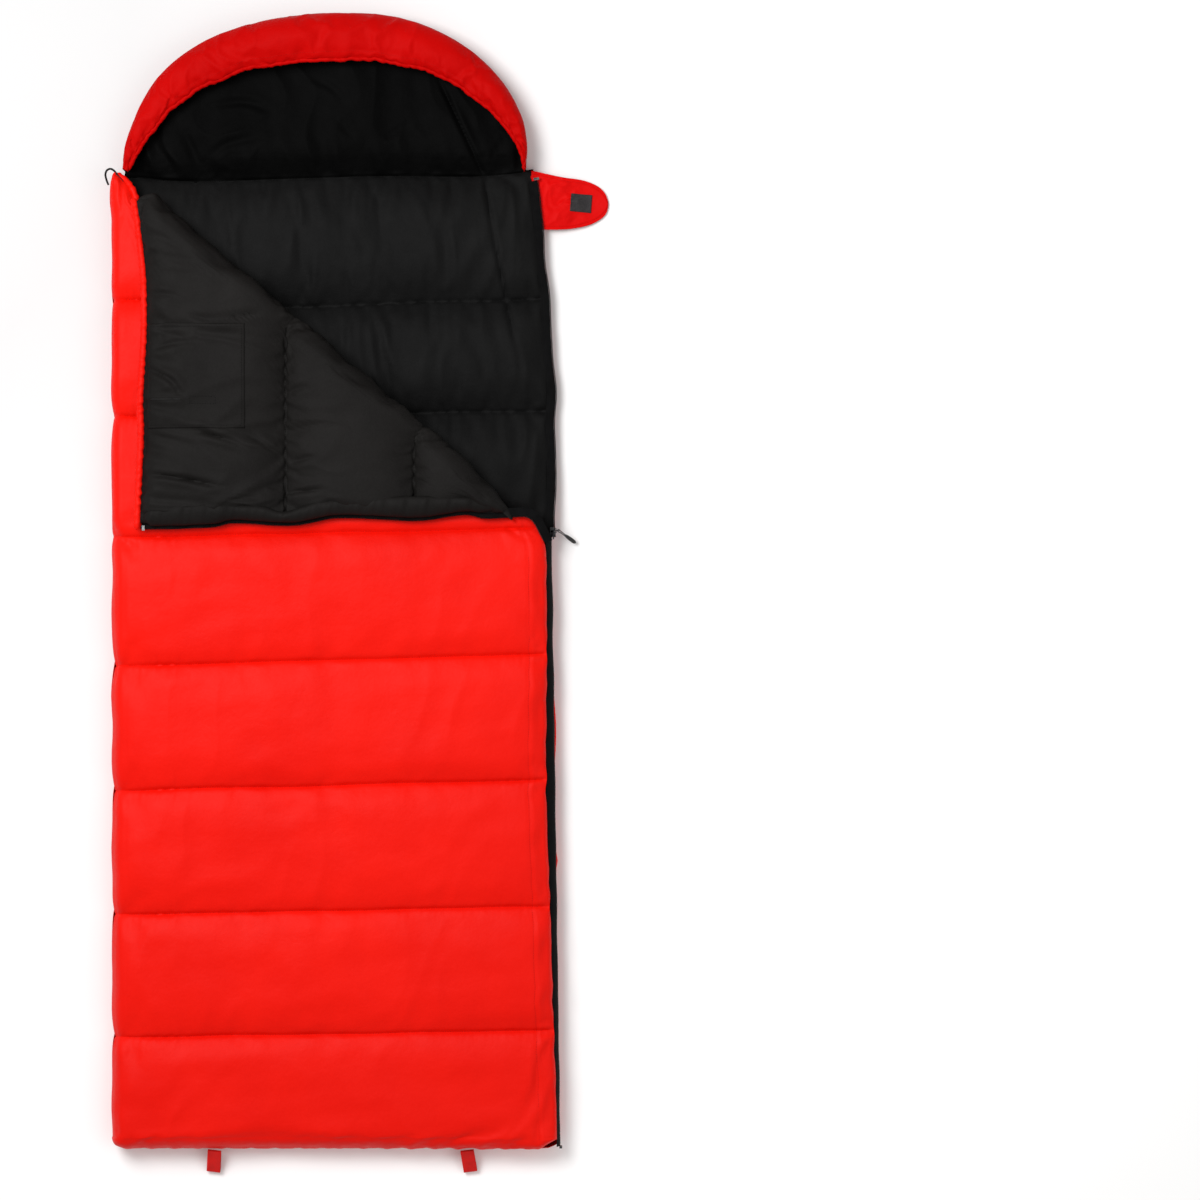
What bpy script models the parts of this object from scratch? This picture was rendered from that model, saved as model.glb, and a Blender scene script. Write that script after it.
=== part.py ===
"""Rectangular hooded sleeping bag, unzipped to the elbow and lying open on a floor.

Frame: metres, +Z up, +Y towards the hood, +X towards the zip. The origin is on the floor, under the
middle of the bag's length and of its width between the side fold and the zip.

The bag is two quilts, each of them outer cloth, wadding and lining, joined by a fold along -X, a sewn
foot and a zip along +X. Above the slider the top quilt's corner is folded back along a diagonal.
"""

from math import ceil, cos, hypot, pi, radians, sin

import bmesh
import bpy
from mathutils import Vector

# ---------------------------------------------------------------- driving sizes, metres
BODY_LENGTH = 1.891  # foot seam to neck seam
HOOD_LENGTH = 0.307  # neck seam to the top of the hood
HALF_WIDTH = 0.427  # from the middle to the side fold, and to the zip at the elbow
FOOT_FLARE = 0.017  # how much further out the zip is at the foot
SHOULDER_TAPER = 0.035  # how much further in it is at the neck
ELBOW_DROP = 0.440  # from the neck seam down to where the shoulder taper starts
SLIDER_DROP = 0.697  # from the neck seam down to the slider

BASE_LOFT = 0.032  # height of the bottom quilt in the middle of a channel
TOP_LOFT = 0.032  # height of the top quilt, and of the corner folded back on it
CAVITY = 0.012  # air between the two linings
FLAP_GAP = 0.004  # air between the top quilt and the folded corner
STITCH_LOFT = 0.0055  # height that is left at a quilting line
STITCH_STEP = 0.0045  # and how far the line is drawn in from the flat side
CLOTH = 0.0008  # outer cloth and lining
AIR = 0.0004  # between pieces that touch

FOOT_CHANNEL = 0.224
BODY_CHANNEL = 0.2405
UPPER_CHANNEL = 0.228
BODY_CHANNELS = 4
UPPER_CHANNELS = 2

FOLD_BULGE = 0.024  # how far the side fold and the foot stand out past the quilts
EDGE_ROUND = 0.036  # width of the rounded edge along the zip
ZIP_EDGE = 0.018  # height of a quilt's edge behind the zip tape
ZIP_STEP = 0.008  # from the middle of the zip to a quilt's edge
ZIP_DROP = 0.010  # how much lower the open half of the zip lies than the closed one
ZIP_EASE = 0.150  # length over which it comes down to that, above the slider

CORNER_IN = 0.055  # the diagonal fold starts this far in from the side fold
CORNER_DOWN = 0.060  # and this far below the neck seam
CORNER_OUT = 0.036  # it ends this far in from the zip
CORNER_PAST = 0.0105  # and this far below the slider
TIP_WIDE = 0.008  # width that is left of the top quilt at its tip
FLAP_SIDE = 0.072  # from the side fold to the folded corner's neck edge
FLAP_RISE = 0.0215  # from the slider up to the folded corner's zip edge
FLAP_CHANNELS = (0.278, 0.526)  # its quilting lines, from the neck edge
FLAP_EDGE = 0.012  # height of its sewn edges
FLAP_LIFT = 0.003  # how far they are drawn up from its underside

TAPE_WIDE, TAPE_THICK = 0.0118, 0.0010  # the zip's tape, from its coil
ZIP_END = 0.006  # from the foot seam to the closed tapes' end
COIL_WIDE, COIL_THICK = 0.0030, 0.0032  # one half of the closed coil
TAPE_LAP = 0.0115  # how much of an open tape lies on the quilt's edge
TAPE_REST = 0.0030  # how far it clears the rounded edge under it
SLIDER_LONG, SLIDER_WIDE, SLIDER_DEEP = 0.024, 0.0148, 0.0076
WING = 0.0014  # thickness of the slider's two wings
LIP_IN = 0.0011  # half of the slot that the tape runs in
POST_LONG, POST_WIDE = 0.006, 0.0024
BAIL_WIRE, BAIL_LONG, BAIL_HIGH = 0.0016, 0.0090, 0.0050
RING_RADIUS, RING_WIRE = 0.0040, 0.0016
PULL_CORD, PULL_CORD_LONG = 0.0020, 0.0165
GRIP_LONG, GRIP_WIDE, GRIP_THICK = 0.0310, 0.0072, 0.0052
PULL_TURN = -30  # degrees, the way that the grip points from the ring, seen from above
PULL_SLOPE = 38  # degrees, the pull leans down to the floor
BAIL_MIDDLE = 0.0045  # from the slider's middle towards the hood

HOOD_OUT = 0.3965  # half the hood's width at the neck seam
HOOD_EDGE = (0.010, 0.028)  # heights of its edge, under the brim
RIM_WIDE = 0.091  # the brim's depth at the top of the hood
RIM_SIDE = 0.024  # and at its two ends
RIM_HIGH = 0.062  # how far the brim stands above the hood's edge
RIM_PAD = 0.018  # its padding
RIM_ENDS = 5  # degrees left free at each end, so that it clears the neck seam
SEAM_HALF = 0.0025  # half of the gap that the neck seam folds in
BRIM_FOOT = 0.0335  # height at which the brim stands on the hood's edge

HEM_RADIUS, HEM_WALL, HEM_CORD = 0.0072, 0.0012, 0.0018
BRIM_HEM_RADIUS, BRIM_HEM_WALL = 0.0046, 0.0010
DRAFT_WIDE, DRAFT_THICK = 0.046, 0.014  # the padded strip behind the open zip
DRAFT_CLOSED_WIDE, DRAFT_CLOSED_THICK = 0.030, 0.0092

TAB_LONG, TAB_ROOT, TAB_TIP, TAB_THICK = 0.140, 0.108, 0.046, 0.0022
TAB_DROP = 0.028  # from the neck seam down to the middle of the closing tab
TAB_SLOPE = 11.0  # degrees, the rest slope down to the floor
PATCH, PATCH_THICK = 0.040, 0.0015
POCKET_LONG, POCKET_WIDE, POCKET_THICK = 0.205, 0.180, 0.0012
LOOP_WIDE, LOOP_LONG, LOOP_OPEN, LOOP_STRAP = 0.026, 0.056, 0.0100, 0.0012
LOOP_PLACES = (-0.228, 0.262)  # across the foot
LOOP_SLOPE = 35.0  # degrees down to the floor
LOOP_SKEWS = (-7.0, 7.0)  # degrees, the way that each loop lies
CORD_LOOP = 0.0040  # the drawcord's thickness where it comes out at the neck

# ---------------------------------------------------------------- places that follow
FOOT_Y = -(BODY_LENGTH + HOOD_LENGTH) / 2
NECK_Y = FOOT_Y + BODY_LENGTH
ELBOW_Y = NECK_Y - ELBOW_DROP
SLIDER_Y = NECK_Y - SLIDER_DROP
BASE_TOP = BASE_LOFT
TOP_UNDER = BASE_TOP + CAVITY
TOP_TOP = TOP_UNDER + TOP_LOFT
FLAP_UNDER = TOP_TOP + FLAP_GAP
FLAP_TOP = FLAP_UNDER + TOP_LOFT
HINGE_Z = (TOP_TOP + FLAP_UNDER) / 2
ZIP_Z = (BASE_TOP + TOP_UNDER) / 2
QUILT_LEFT = -HALF_WIDTH + FOLD_BULGE
QUILT_FOOT = FOOT_Y + FOLD_BULGE
HOOD_MIDDLE = (-HALF_WIDTH + HALF_WIDTH - SHOULDER_TAPER) / 2 + 0.006

FOLD_START = Vector((-HALF_WIDTH + CORNER_IN, NECK_Y - CORNER_DOWN))
FOLD_END = Vector((HALF_WIDTH - CORNER_OUT, SLIDER_Y - CORNER_PAST))
FOLD_LONG = (FOLD_END - FOLD_START).length
FOLD_ALONG = (FOLD_END - FOLD_START) / FOLD_LONG
FOLD_OUT = Vector((-FOLD_ALONG.y, FOLD_ALONG.x))
FLAP_LEFT = -HALF_WIDTH + FLAP_SIDE
FLAP_FOOT = SLIDER_Y + FLAP_RISE
FLAP_TIP = FOLD_END.x - (FLAP_FOOT - FOLD_END.y) * FOLD_ALONG.x / -FOLD_ALONG.y

SEAM_ROWS = (0.0, 0.14, 0.5, 0.86)  # where a channel's height is sampled

FLAP_PIECES = (
    "flap_shell", "flap_fill", "flap_lining", "flap_neck_hem", "flap_neck_cord", "flap_tape", "flap_coil",
    "flap_top_stop", "flap_draft_tube", "pocket_panel", "pocket_closure", "loop_patch",
)  # fmt: skip
HOOD_PIECES = (
    "hood_shell", "hood_fill", "hood_lining", "brim_shell", "brim_fill", "brim_lining", "brim_hem",
    "hood_cord",
)  # fmt: skip

RED = (0.80, 0.025, 0.015)
BLACK = (0.016, 0.016, 0.016)
CLOTHS = {
    "outer_cloth": (RED, 0.55, 0.0),
    "lining": (BLACK, 0.60, 0.0),
    "wadding": ((0.85, 0.85, 0.83), 0.95, 0.0),
    "zip_tape": ((0.012, 0.012, 0.013), 0.75, 0.0),
    "zip_coil": ((0.015, 0.015, 0.016), 0.40, 0.0),
    "zip_metal": ((0.03, 0.03, 0.032), 0.30, 1.0),
    "cord": ((0.012, 0.012, 0.012), 0.65, 0.0),
    "rubber": ((0.014, 0.014, 0.014), 0.50, 0.0),
    "hook_loop": ((0.020, 0.014, 0.014), 0.90, 0.0),
    "webbing": ((0.50, 0.012, 0.010), 0.65, 0.0),
}


# ---------------------------------------------------------------- building blocks
def clear_scene():
    for obj in list(bpy.data.objects):
        bpy.data.objects.remove(obj)


def material(name):
    """The named finish, made once."""
    found = bpy.data.materials.get(name)
    if found:
        return found
    colour, roughness, metallic = CLOTHS[name]
    made = bpy.data.materials.new(name)
    made.use_nodes = True
    shader = made.node_tree.nodes["Principled BSDF"]
    shader.inputs["Base Color"].default_value = (*colour, 1.0)
    shader.inputs["Roughness"].default_value = roughness
    shader.inputs["Metallic"].default_value = metallic
    return made


def add_object(name, bm, finish, parent=None):
    """Links the finished mesh as one object."""
    bmesh.ops.remove_doubles(bm, verts=bm.verts, dist=1e-6)
    bmesh.ops.recalc_face_normals(bm, faces=bm.faces)
    mesh = bpy.data.meshes.new(name)
    bm.to_mesh(mesh)
    bm.free()
    obj = bpy.data.objects.new(name, mesh)
    bpy.context.scene.collection.objects.link(obj)
    mesh.materials.append(material(finish))
    mesh.shade_smooth()
    mesh.set_sharp_from_angle(angle=radians(35))
    obj.parent = parent
    return obj


def add_empty(name, place, turn=(0, 0, 0), parent=None):
    """A frame that pieces are placed by."""
    empty = bpy.data.objects.new(name, None)
    bpy.context.scene.collection.objects.link(empty)
    empty.location = place
    empty.rotation_euler = turn
    empty.parent = parent
    return empty


def block(name, lower, upper, finish):
    """A closed solid between two grids of points with the same rows and columns."""
    bm = bmesh.new()
    low = [[bm.verts.new(p) for p in row] for row in lower]
    high = [[bm.verts.new(p) for p in row] for row in upper]
    last_row, last_column = len(low) - 1, len(low[0]) - 1
    for grid in (low, high):
        for i in range(last_row):
            for j in range(last_column):
                bm.faces.new((grid[i][j], grid[i][j + 1], grid[i + 1][j + 1], grid[i + 1][j]))
    rim = [(0, j) for j in range(last_column)]
    rim += [(i, last_column) for i in range(last_row)]
    rim += [(last_row, j) for j in range(last_column, 0, -1)]
    rim += [(i, 0) for i in range(last_row, 0, -1)]
    for (i, j), (k, m) in zip(rim, rim[1:] + rim[:1]):
        bm.faces.new((low[i][j], low[k][m], high[k][m], high[i][j]))
    return add_object(name, bm, finish)


def sweep(name, sections, finish, parent=None, ring=False):
    """A closed solid through sections with the same number of points; a ring joins the last to the first."""
    bm = bmesh.new()
    loops = [[bm.verts.new(p) for p in section] for section in sections]
    pairs = list(zip(loops, loops[1:]))
    if ring:
        pairs.append((loops[-1], loops[0]))
    for a, b in pairs:
        for i in range(len(a)):
            j = (i + 1) % len(a)
            bm.faces.new((a[i], a[j], b[j], b[i]))
    if not ring:
        bm.faces.new(loops[0])
        bm.faces.new(loops[-1])
    return add_object(name, bm, finish, parent)


def round_section(radius_out, radius_up, sides=10):
    """A closed ellipse as (sideways, upwards) points."""
    turns = [2 * pi * i / sides for i in range(sides)]
    return [(radius_out * cos(t), radius_up * sin(t)) for t in turns]


def box_section(left, right, low, high):
    return [(left, low), (right, low), (right, high), (left, high)]


def along(path, section):
    """The section carried along the path: sideways is to the path's right, level; upwards is +Z."""
    path = [Vector(p) for p in path]
    sections = []
    for i, p in enumerate(path):
        run = path[min(i + 1, len(path) - 1)] - path[max(i - 1, 0)]
        side = Vector((run.y, -run.x, 0)).normalized()
        sections.append([p + side * out + Vector((0, 0, up)) for out, up in section])
    return sections


def square_to(path, section):
    """The section carried along the path, square to it, for cords that climb."""
    path = [Vector(p) for p in path]
    up = Vector((0, 0, 1))
    sections = []
    for i, p in enumerate(path):
        run = (path[min(i + 1, len(path) - 1)] - path[max(i - 1, 0)]).normalized()
        side = run.cross(up).normalized()
        lift = side.cross(run)
        sections.append([p + side * out + lift * rise for out, rise in section])
    return sections


def smooth_path(points, steps):
    """A smooth curve through the points, read at an even number of steps for each stretch."""
    points = [Vector(p) for p in points]
    ends = [2 * points[0] - points[1], *points, 2 * points[-1] - points[-2]]
    curve = []
    for a, b, c, d in zip(ends, ends[1:], ends[2:], ends[3:]):
        for i in range(steps):
            t = i / steps
            bend = (2 * a - 5 * b + 4 * c - d) * t**2 + (3 * b - a - 3 * c + d) * t**3
            curve.append(0.5 * (2 * b + (c - a) * t + bend))
    return [*curve, points[-1]]


def mix(a, b, share):
    return a + (b - a) * share


def hang(name, place, pieces):
    """Puts an empty on a joint's axis and gives it the finished pieces, where they are."""
    empty = add_empty(name, place)
    for piece in pieces:
        obj = bpy.data.objects[piece]
        obj.parent = empty
        obj.location = -Vector(place)


# ---------------------------------------------------------------- plan of the bag
def zip_x(y):
    """Where the zip runs, at a place along the bag."""
    if y > ELBOW_Y:
        share = (y - ELBOW_Y) / (NECK_Y - ELBOW_Y)
        return HALF_WIDTH - SHOULDER_TAPER * share**1.3
    if y > SLIDER_Y:
        return HALF_WIDTH
    return HALF_WIDTH + FOOT_FLARE * (SLIDER_Y - y) / (SLIDER_Y - FOOT_Y)


def base_edge(y):
    """Height of the bottom quilt's upper edge along the zip."""
    share = min(1, max(0, (y - SLIDER_Y) / ZIP_EASE))
    return ZIP_Z - ZIP_STEP - ZIP_DROP * share * share * (3 - 2 * share)


def fold_x(y):
    """Where the diagonal fold crosses a place along the bag."""
    return FOLD_START.x + FOLD_ALONG.x / FOLD_ALONG.y * (y - FOLD_START.y)


def fold_y(x):
    """Where the diagonal fold crosses a place across the bag."""
    return FOLD_START.y + FOLD_ALONG.y / FOLD_ALONG.x * (x - FOLD_START.x)


def fold_point(distance, out=0.0):
    """A point at a distance along the diagonal fold, and out from it towards the hood."""
    return FOLD_START + FOLD_ALONG * distance + FOLD_OUT * out


def quilting_lines():
    """The places of the stitched lines across the bag, from the foot to the neck seam."""
    steps = [FOOT_CHANNEL] + [BODY_CHANNEL] * BODY_CHANNELS + [UPPER_CHANNEL] * UPPER_CHANNELS
    lines, y = [FOOT_Y], FOOT_Y
    for step in steps:
        y += step
        if y < NECK_Y - FOOT_CHANNEL / 2:
            lines.append(y)
    spare = ceil((NECK_Y - lines[-1]) / (1.4 * BODY_CHANNEL))
    start = lines[-1]
    lines += [mix(start, NECK_Y, (i + 1) / spare) for i in range(spare)]
    return lines


def channel_loft(share):
    """Fullness across a channel, 0 at its stitched lines and 1 in its middle."""
    return 1 - abs(2 * share - 1) ** 2.4


def channel_rows(low, high):
    """(place, fullness) from low to high; the ends are flush cuts, full where no line is near."""
    rows = []
    lines = quilting_lines()
    for a, b in zip(lines, lines[1:]):
        for share in SEAM_ROWS:
            y = mix(a, b, share)
            fullness = 1.0 if y < low + 0.01 else channel_loft(share)
            rows.append((y, fullness))
    rows = [(y, f) for y, f in rows if low + 0.004 < y < high - 0.004]
    return [(low, 1.0), *rows, (high, channel_fullness(high))]


def channel_fullness(y):
    lines = quilting_lines()
    for a, b in zip(lines, lines[1:]):
        if a <= y <= b:
            return channel_loft((y - a) / (b - a))
    return 0.0


# ---------------------------------------------------------------- the two quilts
def base_heights(y, edge, fullness):
    """(underside, top) of the bottom quilt; edge is 0 at the zip and 1 inside."""
    top = mix(STITCH_LOFT + STITCH_STEP, BASE_LOFT, fullness)
    return mix(base_edge(y) - ZIP_EDGE, 0.0, edge), mix(base_edge(y), top, edge)


def top_heights(_, edge, fullness):
    """(underside, top) of the top quilt."""
    under = mix(TOP_UNDER + 0.4 * TOP_LOFT, TOP_UNDER, fullness)
    top = mix(under + STITCH_LOFT, TOP_TOP, fullness)
    return mix(ZIP_Z + ZIP_STEP, under, edge), mix(ZIP_Z + ZIP_STEP + ZIP_EDGE, top, edge)


def hood_heights(_, edge, fullness):
    """(underside, top) of the hood's back."""
    top = mix(STITCH_LOFT + STITCH_STEP, BASE_LOFT, fullness)
    return mix(HOOD_EDGE[0], 0.0, edge), mix(HOOD_EDGE[1], top, edge)


def quilt_columns(left, right, rounded):
    """(x, edge) across one row; the right-hand edge is rounded where the zip is."""
    band = min(EDGE_ROUND, 0.3 * (right - left))
    if not rounded:
        return [(left, 1), (mix(left, right, 0.5), 1), (right - band, 1), (right - band / 3, 1), (right, 1)]
    return [(left, 1), (mix(left, right, 0.5), 1), (right - band, 1), (right - band / 3, 0.62), (right, 0)]


def three_layers(names, plan, heights, outer_below=False):
    """Outer cloth, wadding and lining, one on another, over a grid of (x, y, edge, fullness)."""
    outer, wadding, lining = names
    pad = CLOTH + AIR

    def surface(side, inset):
        rows = []
        for row in plan:
            points = []
            for x, y, edge, fullness in row:
                under, top = heights(y, edge, fullness)
                points.append((x, y, under + inset if side == "under" else top - inset))
            rows.append(points)
        return rows

    below, above = (outer, lining) if outer_below else (lining, outer)
    below_finish = "outer_cloth" if outer_below else "lining"
    above_finish = "lining" if outer_below else "outer_cloth"
    block(below, surface("under", 0), surface("under", CLOTH), below_finish)
    block(wadding, surface("under", pad), surface("top", pad), "wadding")
    block(above, surface("top", CLOTH), surface("top", 0), above_finish)


def build_base_quilt():
    """The bottom quilt, from the foot to the neck seam."""
    plan = []
    for y, fullness in channel_rows(QUILT_FOOT + AIR, NECK_Y - SEAM_HALF):
        right = zip_x(y) - AIR - TAPE_THICK / 2
        columns = quilt_columns(QUILT_LEFT + AIR, right, True)
        plan.append([(x, y, edge, fullness) for x, edge in columns])
    three_layers(("base_shell", "base_fill", "base_lining"), plan, base_heights, outer_below=True)


def build_top_quilt():
    """The top quilt, from the foot to the diagonal fold and the tip at the neck."""
    rows = channel_rows(QUILT_FOOT + AIR, fold_y(QUILT_LEFT + TIP_WIDE))
    corner = [FOLD_END.y - 0.010, FOLD_END.y]
    rows = [r for r in rows if all(abs(r[0] - y) > 0.004 for y in corner)]
    rows = sorted(rows + [(y, channel_fullness(y)) for y in corner])
    plan = []
    for y, fullness in rows:
        folded = y >= FOLD_END.y
        right = fold_x(y) - AIR if folded else zip_x(y) - AIR - TAPE_THICK / 2
        columns = quilt_columns(QUILT_LEFT + AIR, right, not folded)
        plan.append([(x, y, edge, fullness) for x, edge in columns])
    three_layers(("top_shell", "top_fill", "top_lining"), plan, top_heights)


def crescent(outer, inner, steps=8):
    """A half ring of (outwards, height) points between two half ellipses, (reach, half height, middle)."""
    turns = [-pi / 2 + pi * i / steps for i in range(steps + 1)]
    points = [(outer[0] * cos(t), outer[2] + outer[1] * sin(t)) for t in turns]
    return points + [(inner[0] * cos(t), inner[2] + inner[1] * sin(t)) for t in reversed(turns)]


def build_turns():
    """The side fold and the sewn foot, where the bottom quilt turns up into the top one."""
    half = TOP_TOP / 2
    hollow = CAVITY / 2
    layers = (
        ("shell", "outer_cloth", 0.0, CLOTH),
        ("fill", "wadding", CLOTH + AIR, None),
        ("lining", "lining", None, None),
    )
    foot_right = zip_x(QUILT_FOOT) - EDGE_ROUND * 0.35
    neck_end = NECK_Y - HEM_RADIUS * 4
    for place in ("side_fold", "foot"):
        for layer, finish, outset, inset in layers:
            if layer == "shell":
                section = crescent((FOLD_BULGE, half, half), (FOLD_BULGE - CLOTH, half - CLOTH, half))
            elif layer == "fill":
                within = hollow + CLOTH + AIR
                section = crescent((FOLD_BULGE - outset, half - outset, half), (within, within, ZIP_Z))
            else:
                section = crescent((hollow + CLOTH, hollow + CLOTH, ZIP_Z), (hollow, hollow, ZIP_Z))
            if place == "side_fold":
                ends = [[(QUILT_LEFT - out, y, z) for out, z in section] for y in (FOOT_Y + 0.006, neck_end)]
            else:
                ends = [
                    [(x, QUILT_FOOT - out, z) for out, z in section] for x in (QUILT_LEFT + AIR, foot_right)
                ]
            sweep(f"{place}_{layer}", ends, finish)


def flap_plan():
    """The folded corner: columns from its neck edge to the zip end, each from its zip edge to the fold."""
    lines = [0.0, *FLAP_CHANNELS]
    reach = FLAP_TIP - 2 * STITCH_LOFT - FLAP_LEFT
    lines = [line for line in lines if line < reach - 0.06] + [reach]
    stations = []
    for a, b in zip(lines, lines[1:]):
        for share in SEAM_ROWS:
            at_edge = 0.0 if a == 0.0 and share == 0.0 else 1.0
            stations.append((mix(a, b, share), channel_loft(share), at_edge))
    stations.append((reach, 0.35, 1.0))
    plan = []
    for offset, fullness, inside in stations:
        x = FLAP_LEFT + offset
        tall = fold_y(x) - AIR - FLAP_FOOT
        band = min(EDGE_ROUND, 0.3 * tall)
        places = [(0, 0), (band / 3, 0.62), (band, 1), (tall * 0.6, 1), (tall, 1)]
        if not inside:
            fullness = 0.0
        plan.append([(x, FLAP_FOOT + up, edge * inside, fullness) for up, edge in places])
    return plan


def flap_heights(_, edge, fullness):
    """(underside, top) of the folded corner, whose outer cloth now faces down."""
    under = mix(FLAP_UNDER + STITCH_STEP, FLAP_UNDER, fullness)
    top = mix(under + STITCH_LOFT, FLAP_TOP, fullness)
    return mix(FLAP_UNDER + FLAP_LIFT, under, edge), mix(FLAP_UNDER + FLAP_LIFT + FLAP_EDGE, top, edge)


def build_flap():
    three_layers(("flap_shell", "flap_fill", "flap_lining"), flap_plan(), flap_heights, outer_below=True)


def build_fold_roll():
    """The quilt where it turns over at the diagonal fold: lining outside, wadding inside."""
    start, end = 0.014, FOLD_LONG - 0.040
    radius = FLAP_TOP - HINGE_Z
    turns = [-pi / 2 + pi * i / 10 for i in range(11)]

    def bow(r):
        return [(0.0006 + r * cos(t), HINGE_Z + r * sin(t)) for t in turns]

    lining = bow(radius) + bow(radius - CLOTH)[::-1]
    wadding = bow(radius - CLOTH - AIR)
    for name, section, finish in (
        ("fold_roll_lining", lining, "lining"),
        ("fold_roll_fill", wadding, "wadding"),
    ):
        ends = []
        for distance in (start, mix(start, end, 0.5), end):
            ends.append([(*fold_point(distance, out), z) for out, z in section])
        sweep(name, ends, finish)


# ---------------------------------------------------------------- hood
def hood_outline(turn, out, up):
    """A point of a half ellipse around the middle of the neck seam."""
    return Vector((HOOD_MIDDLE + out * cos(turn), NECK_Y + SEAM_HALF + up * sin(turn)))


def build_hood_back():
    """The flat back of the hood, which lies on the floor."""
    out = HOOD_OUT
    up = HOOD_LENGTH - SEAM_HALF
    turns = [radians(t) for t in (0, 9, 22, 38, 55, 70, 79, 84)]
    plan = []
    for i, turn in enumerate(turns):
        y = NECK_Y + SEAM_HALF + up * sin(turn)
        half = out * cos(turn)
        fullness = channel_loft(min(0.5, 0.5 * i / 3))
        band = min(EDGE_ROUND, 0.3 * half)
        inside = 0.0 if i == len(turns) - 1 else 1.0
        columns = [(-half, 0), (-half + band, 1), (0, 1), (half - band, 1), (half, 0)]
        plan.append([(HOOD_MIDDLE + x, y, edge * inside, fullness) for x, edge in columns])
    three_layers(("hood_shell", "hood_fill", "hood_lining"), plan, hood_heights, outer_below=True)


def brim_sections(layer):
    """Sections of the arched brim, round the hood from its right end to its left one."""
    sections = []
    steps = 18
    for i in range(steps + 1):
        turn = radians(mix(RIM_ENDS, 180 - RIM_ENDS, i / steps))
        outer = hood_outline(turn, HOOD_OUT, HOOD_LENGTH - SEAM_HALF)
        inner = hood_outline(turn, HOOD_OUT - RIM_SIDE, HOOD_LENGTH - SEAM_HALF - RIM_WIDE)
        wide = (inner - outer).length
        inwards = (inner - outer) / wide
        rise = RIM_HIGH * (0.42 + 0.58 * sin(turn))
        pad = RIM_PAD * (0.40 + 0.60 * sin(turn))
        skin = [
            (0, 0), (0, 0.42 * rise), (0.10 * wide, 0.76 * rise),
            (0.34 * wide, rise), (0.70 * wide, 0.99 * rise), (wide, 0.80 * rise),
        ]  # fmt: skip
        lower = [
            (pad, 0), (pad, 0.40 * (rise - pad)), (max(pad, 0.10 * wide + 0.7 * pad), 0.80 * (rise - pad)),
            (max(pad, 0.34 * wide + 0.3 * pad), rise - pad), (max(pad, 0.70 * wide), 0.99 * rise - pad),
            (max(pad, wide), 0.80 * rise - 0.55 * pad),
        ]  # fmt: skip

        def shifted(points, towards, distance):
            """Each point moved that distance towards its partner on the other face."""
            moved = []
            for (a, b), (c, d) in zip(points, towards):
                reach = hypot(c - a, d - b)
                moved.append((a + (c - a) * distance / reach, b + (d - b) * distance / reach))
            return moved

        faces = {
            "shell": (skin, shifted(skin, lower, CLOTH)),
            "fill": (shifted(skin, lower, CLOTH + AIR), shifted(lower, skin, CLOTH + AIR)),
            "lining": (shifted(lower, skin, CLOTH), lower),
        }
        first, second = faces[layer]
        loop = first + second[::-1]
        sections.append([(*(outer + inwards * t), BRIM_FOOT + z) for t, z in loop])
    return sections


def build_brim():
    """The padded brim that arches over the edge of the hood, with a corded hem."""
    finishes = {"shell": "outer_cloth", "fill": "wadding", "lining": "lining"}
    for layer, finish in finishes.items():
        sweep(f"brim_{layer}", brim_sections(layer), finish)
    hem = []
    steps = 18
    for i in range(steps + 1):
        turn = radians(mix(RIM_ENDS + 2, 180 - RIM_ENDS - 2, i / steps))
        gap = 0.0060
        inner = hood_outline(
            turn, HOOD_OUT - RIM_SIDE - gap, HOOD_LENGTH - SEAM_HALF - RIM_WIDE - gap
        )
        rise = RIM_HIGH * (0.42 + 0.58 * sin(turn))
        pad = RIM_PAD * (0.40 + 0.60 * sin(turn))
        hem.append((inner.x, inner.y, BRIM_FOOT + 0.80 * rise - 0.3 * pad))
    hollow_tube("brim_hem", hem, BRIM_HEM_RADIUS, BRIM_HEM_WALL)
    sweep("hood_cord", along(hem, round_section(HEM_CORD, HEM_CORD, 6)), "cord")


def hollow_tube(name, path, radius, wall):
    """A sewn channel, open at both ends for its cord."""
    bm = bmesh.new()
    loops = [[bm.verts.new(p) for p in s] for s in along(path, round_section(radius, radius, 8))]
    for a, b in zip(loops, loops[1:]):
        for i in range(len(a)):
            j = (i + 1) % len(a)
            bm.faces.new((a[i], a[j], b[j], b[i]))
    tube = add_object(name, bm, "outer_cloth")
    thick = tube.modifiers.new("wall", "SOLIDIFY")
    thick.thickness = wall
    thick.offset = -1
    return tube


# ---------------------------------------------------------------- neck hem, tape and draft tubes
def build_neck_hem():
    """The corded hem on the neck edge: one length on the folded corner, one on the tip that stays down."""
    x = FLAP_LEFT - HEM_RADIUS - AIR
    middle = FLAP_UNDER + FLAP_LIFT + FLAP_EDGE / 2
    path = [(x, mix(FLAP_FOOT + 0.001, fold_y(x) - 0.016, i / 4), middle) for i in range(5)]
    hollow_tube("flap_neck_hem", path, HEM_RADIUS, HEM_WALL)
    sweep("flap_neck_cord", along(path, round_section(HEM_CORD, HEM_CORD, 6)), "cord")
    out = HEM_RADIUS + 2 * AIR
    tip = [(*fold_point(mix(-0.030, 0.006, i / 2), out), TOP_UNDER + TOP_LOFT / 2) for i in range(3)]
    hollow_tube("tip_neck_hem", tip, HEM_RADIUS, HEM_WALL)
    sweep("tip_neck_cord", along(tip, round_section(HEM_CORD, HEM_CORD, 6)), "cord")


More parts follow.
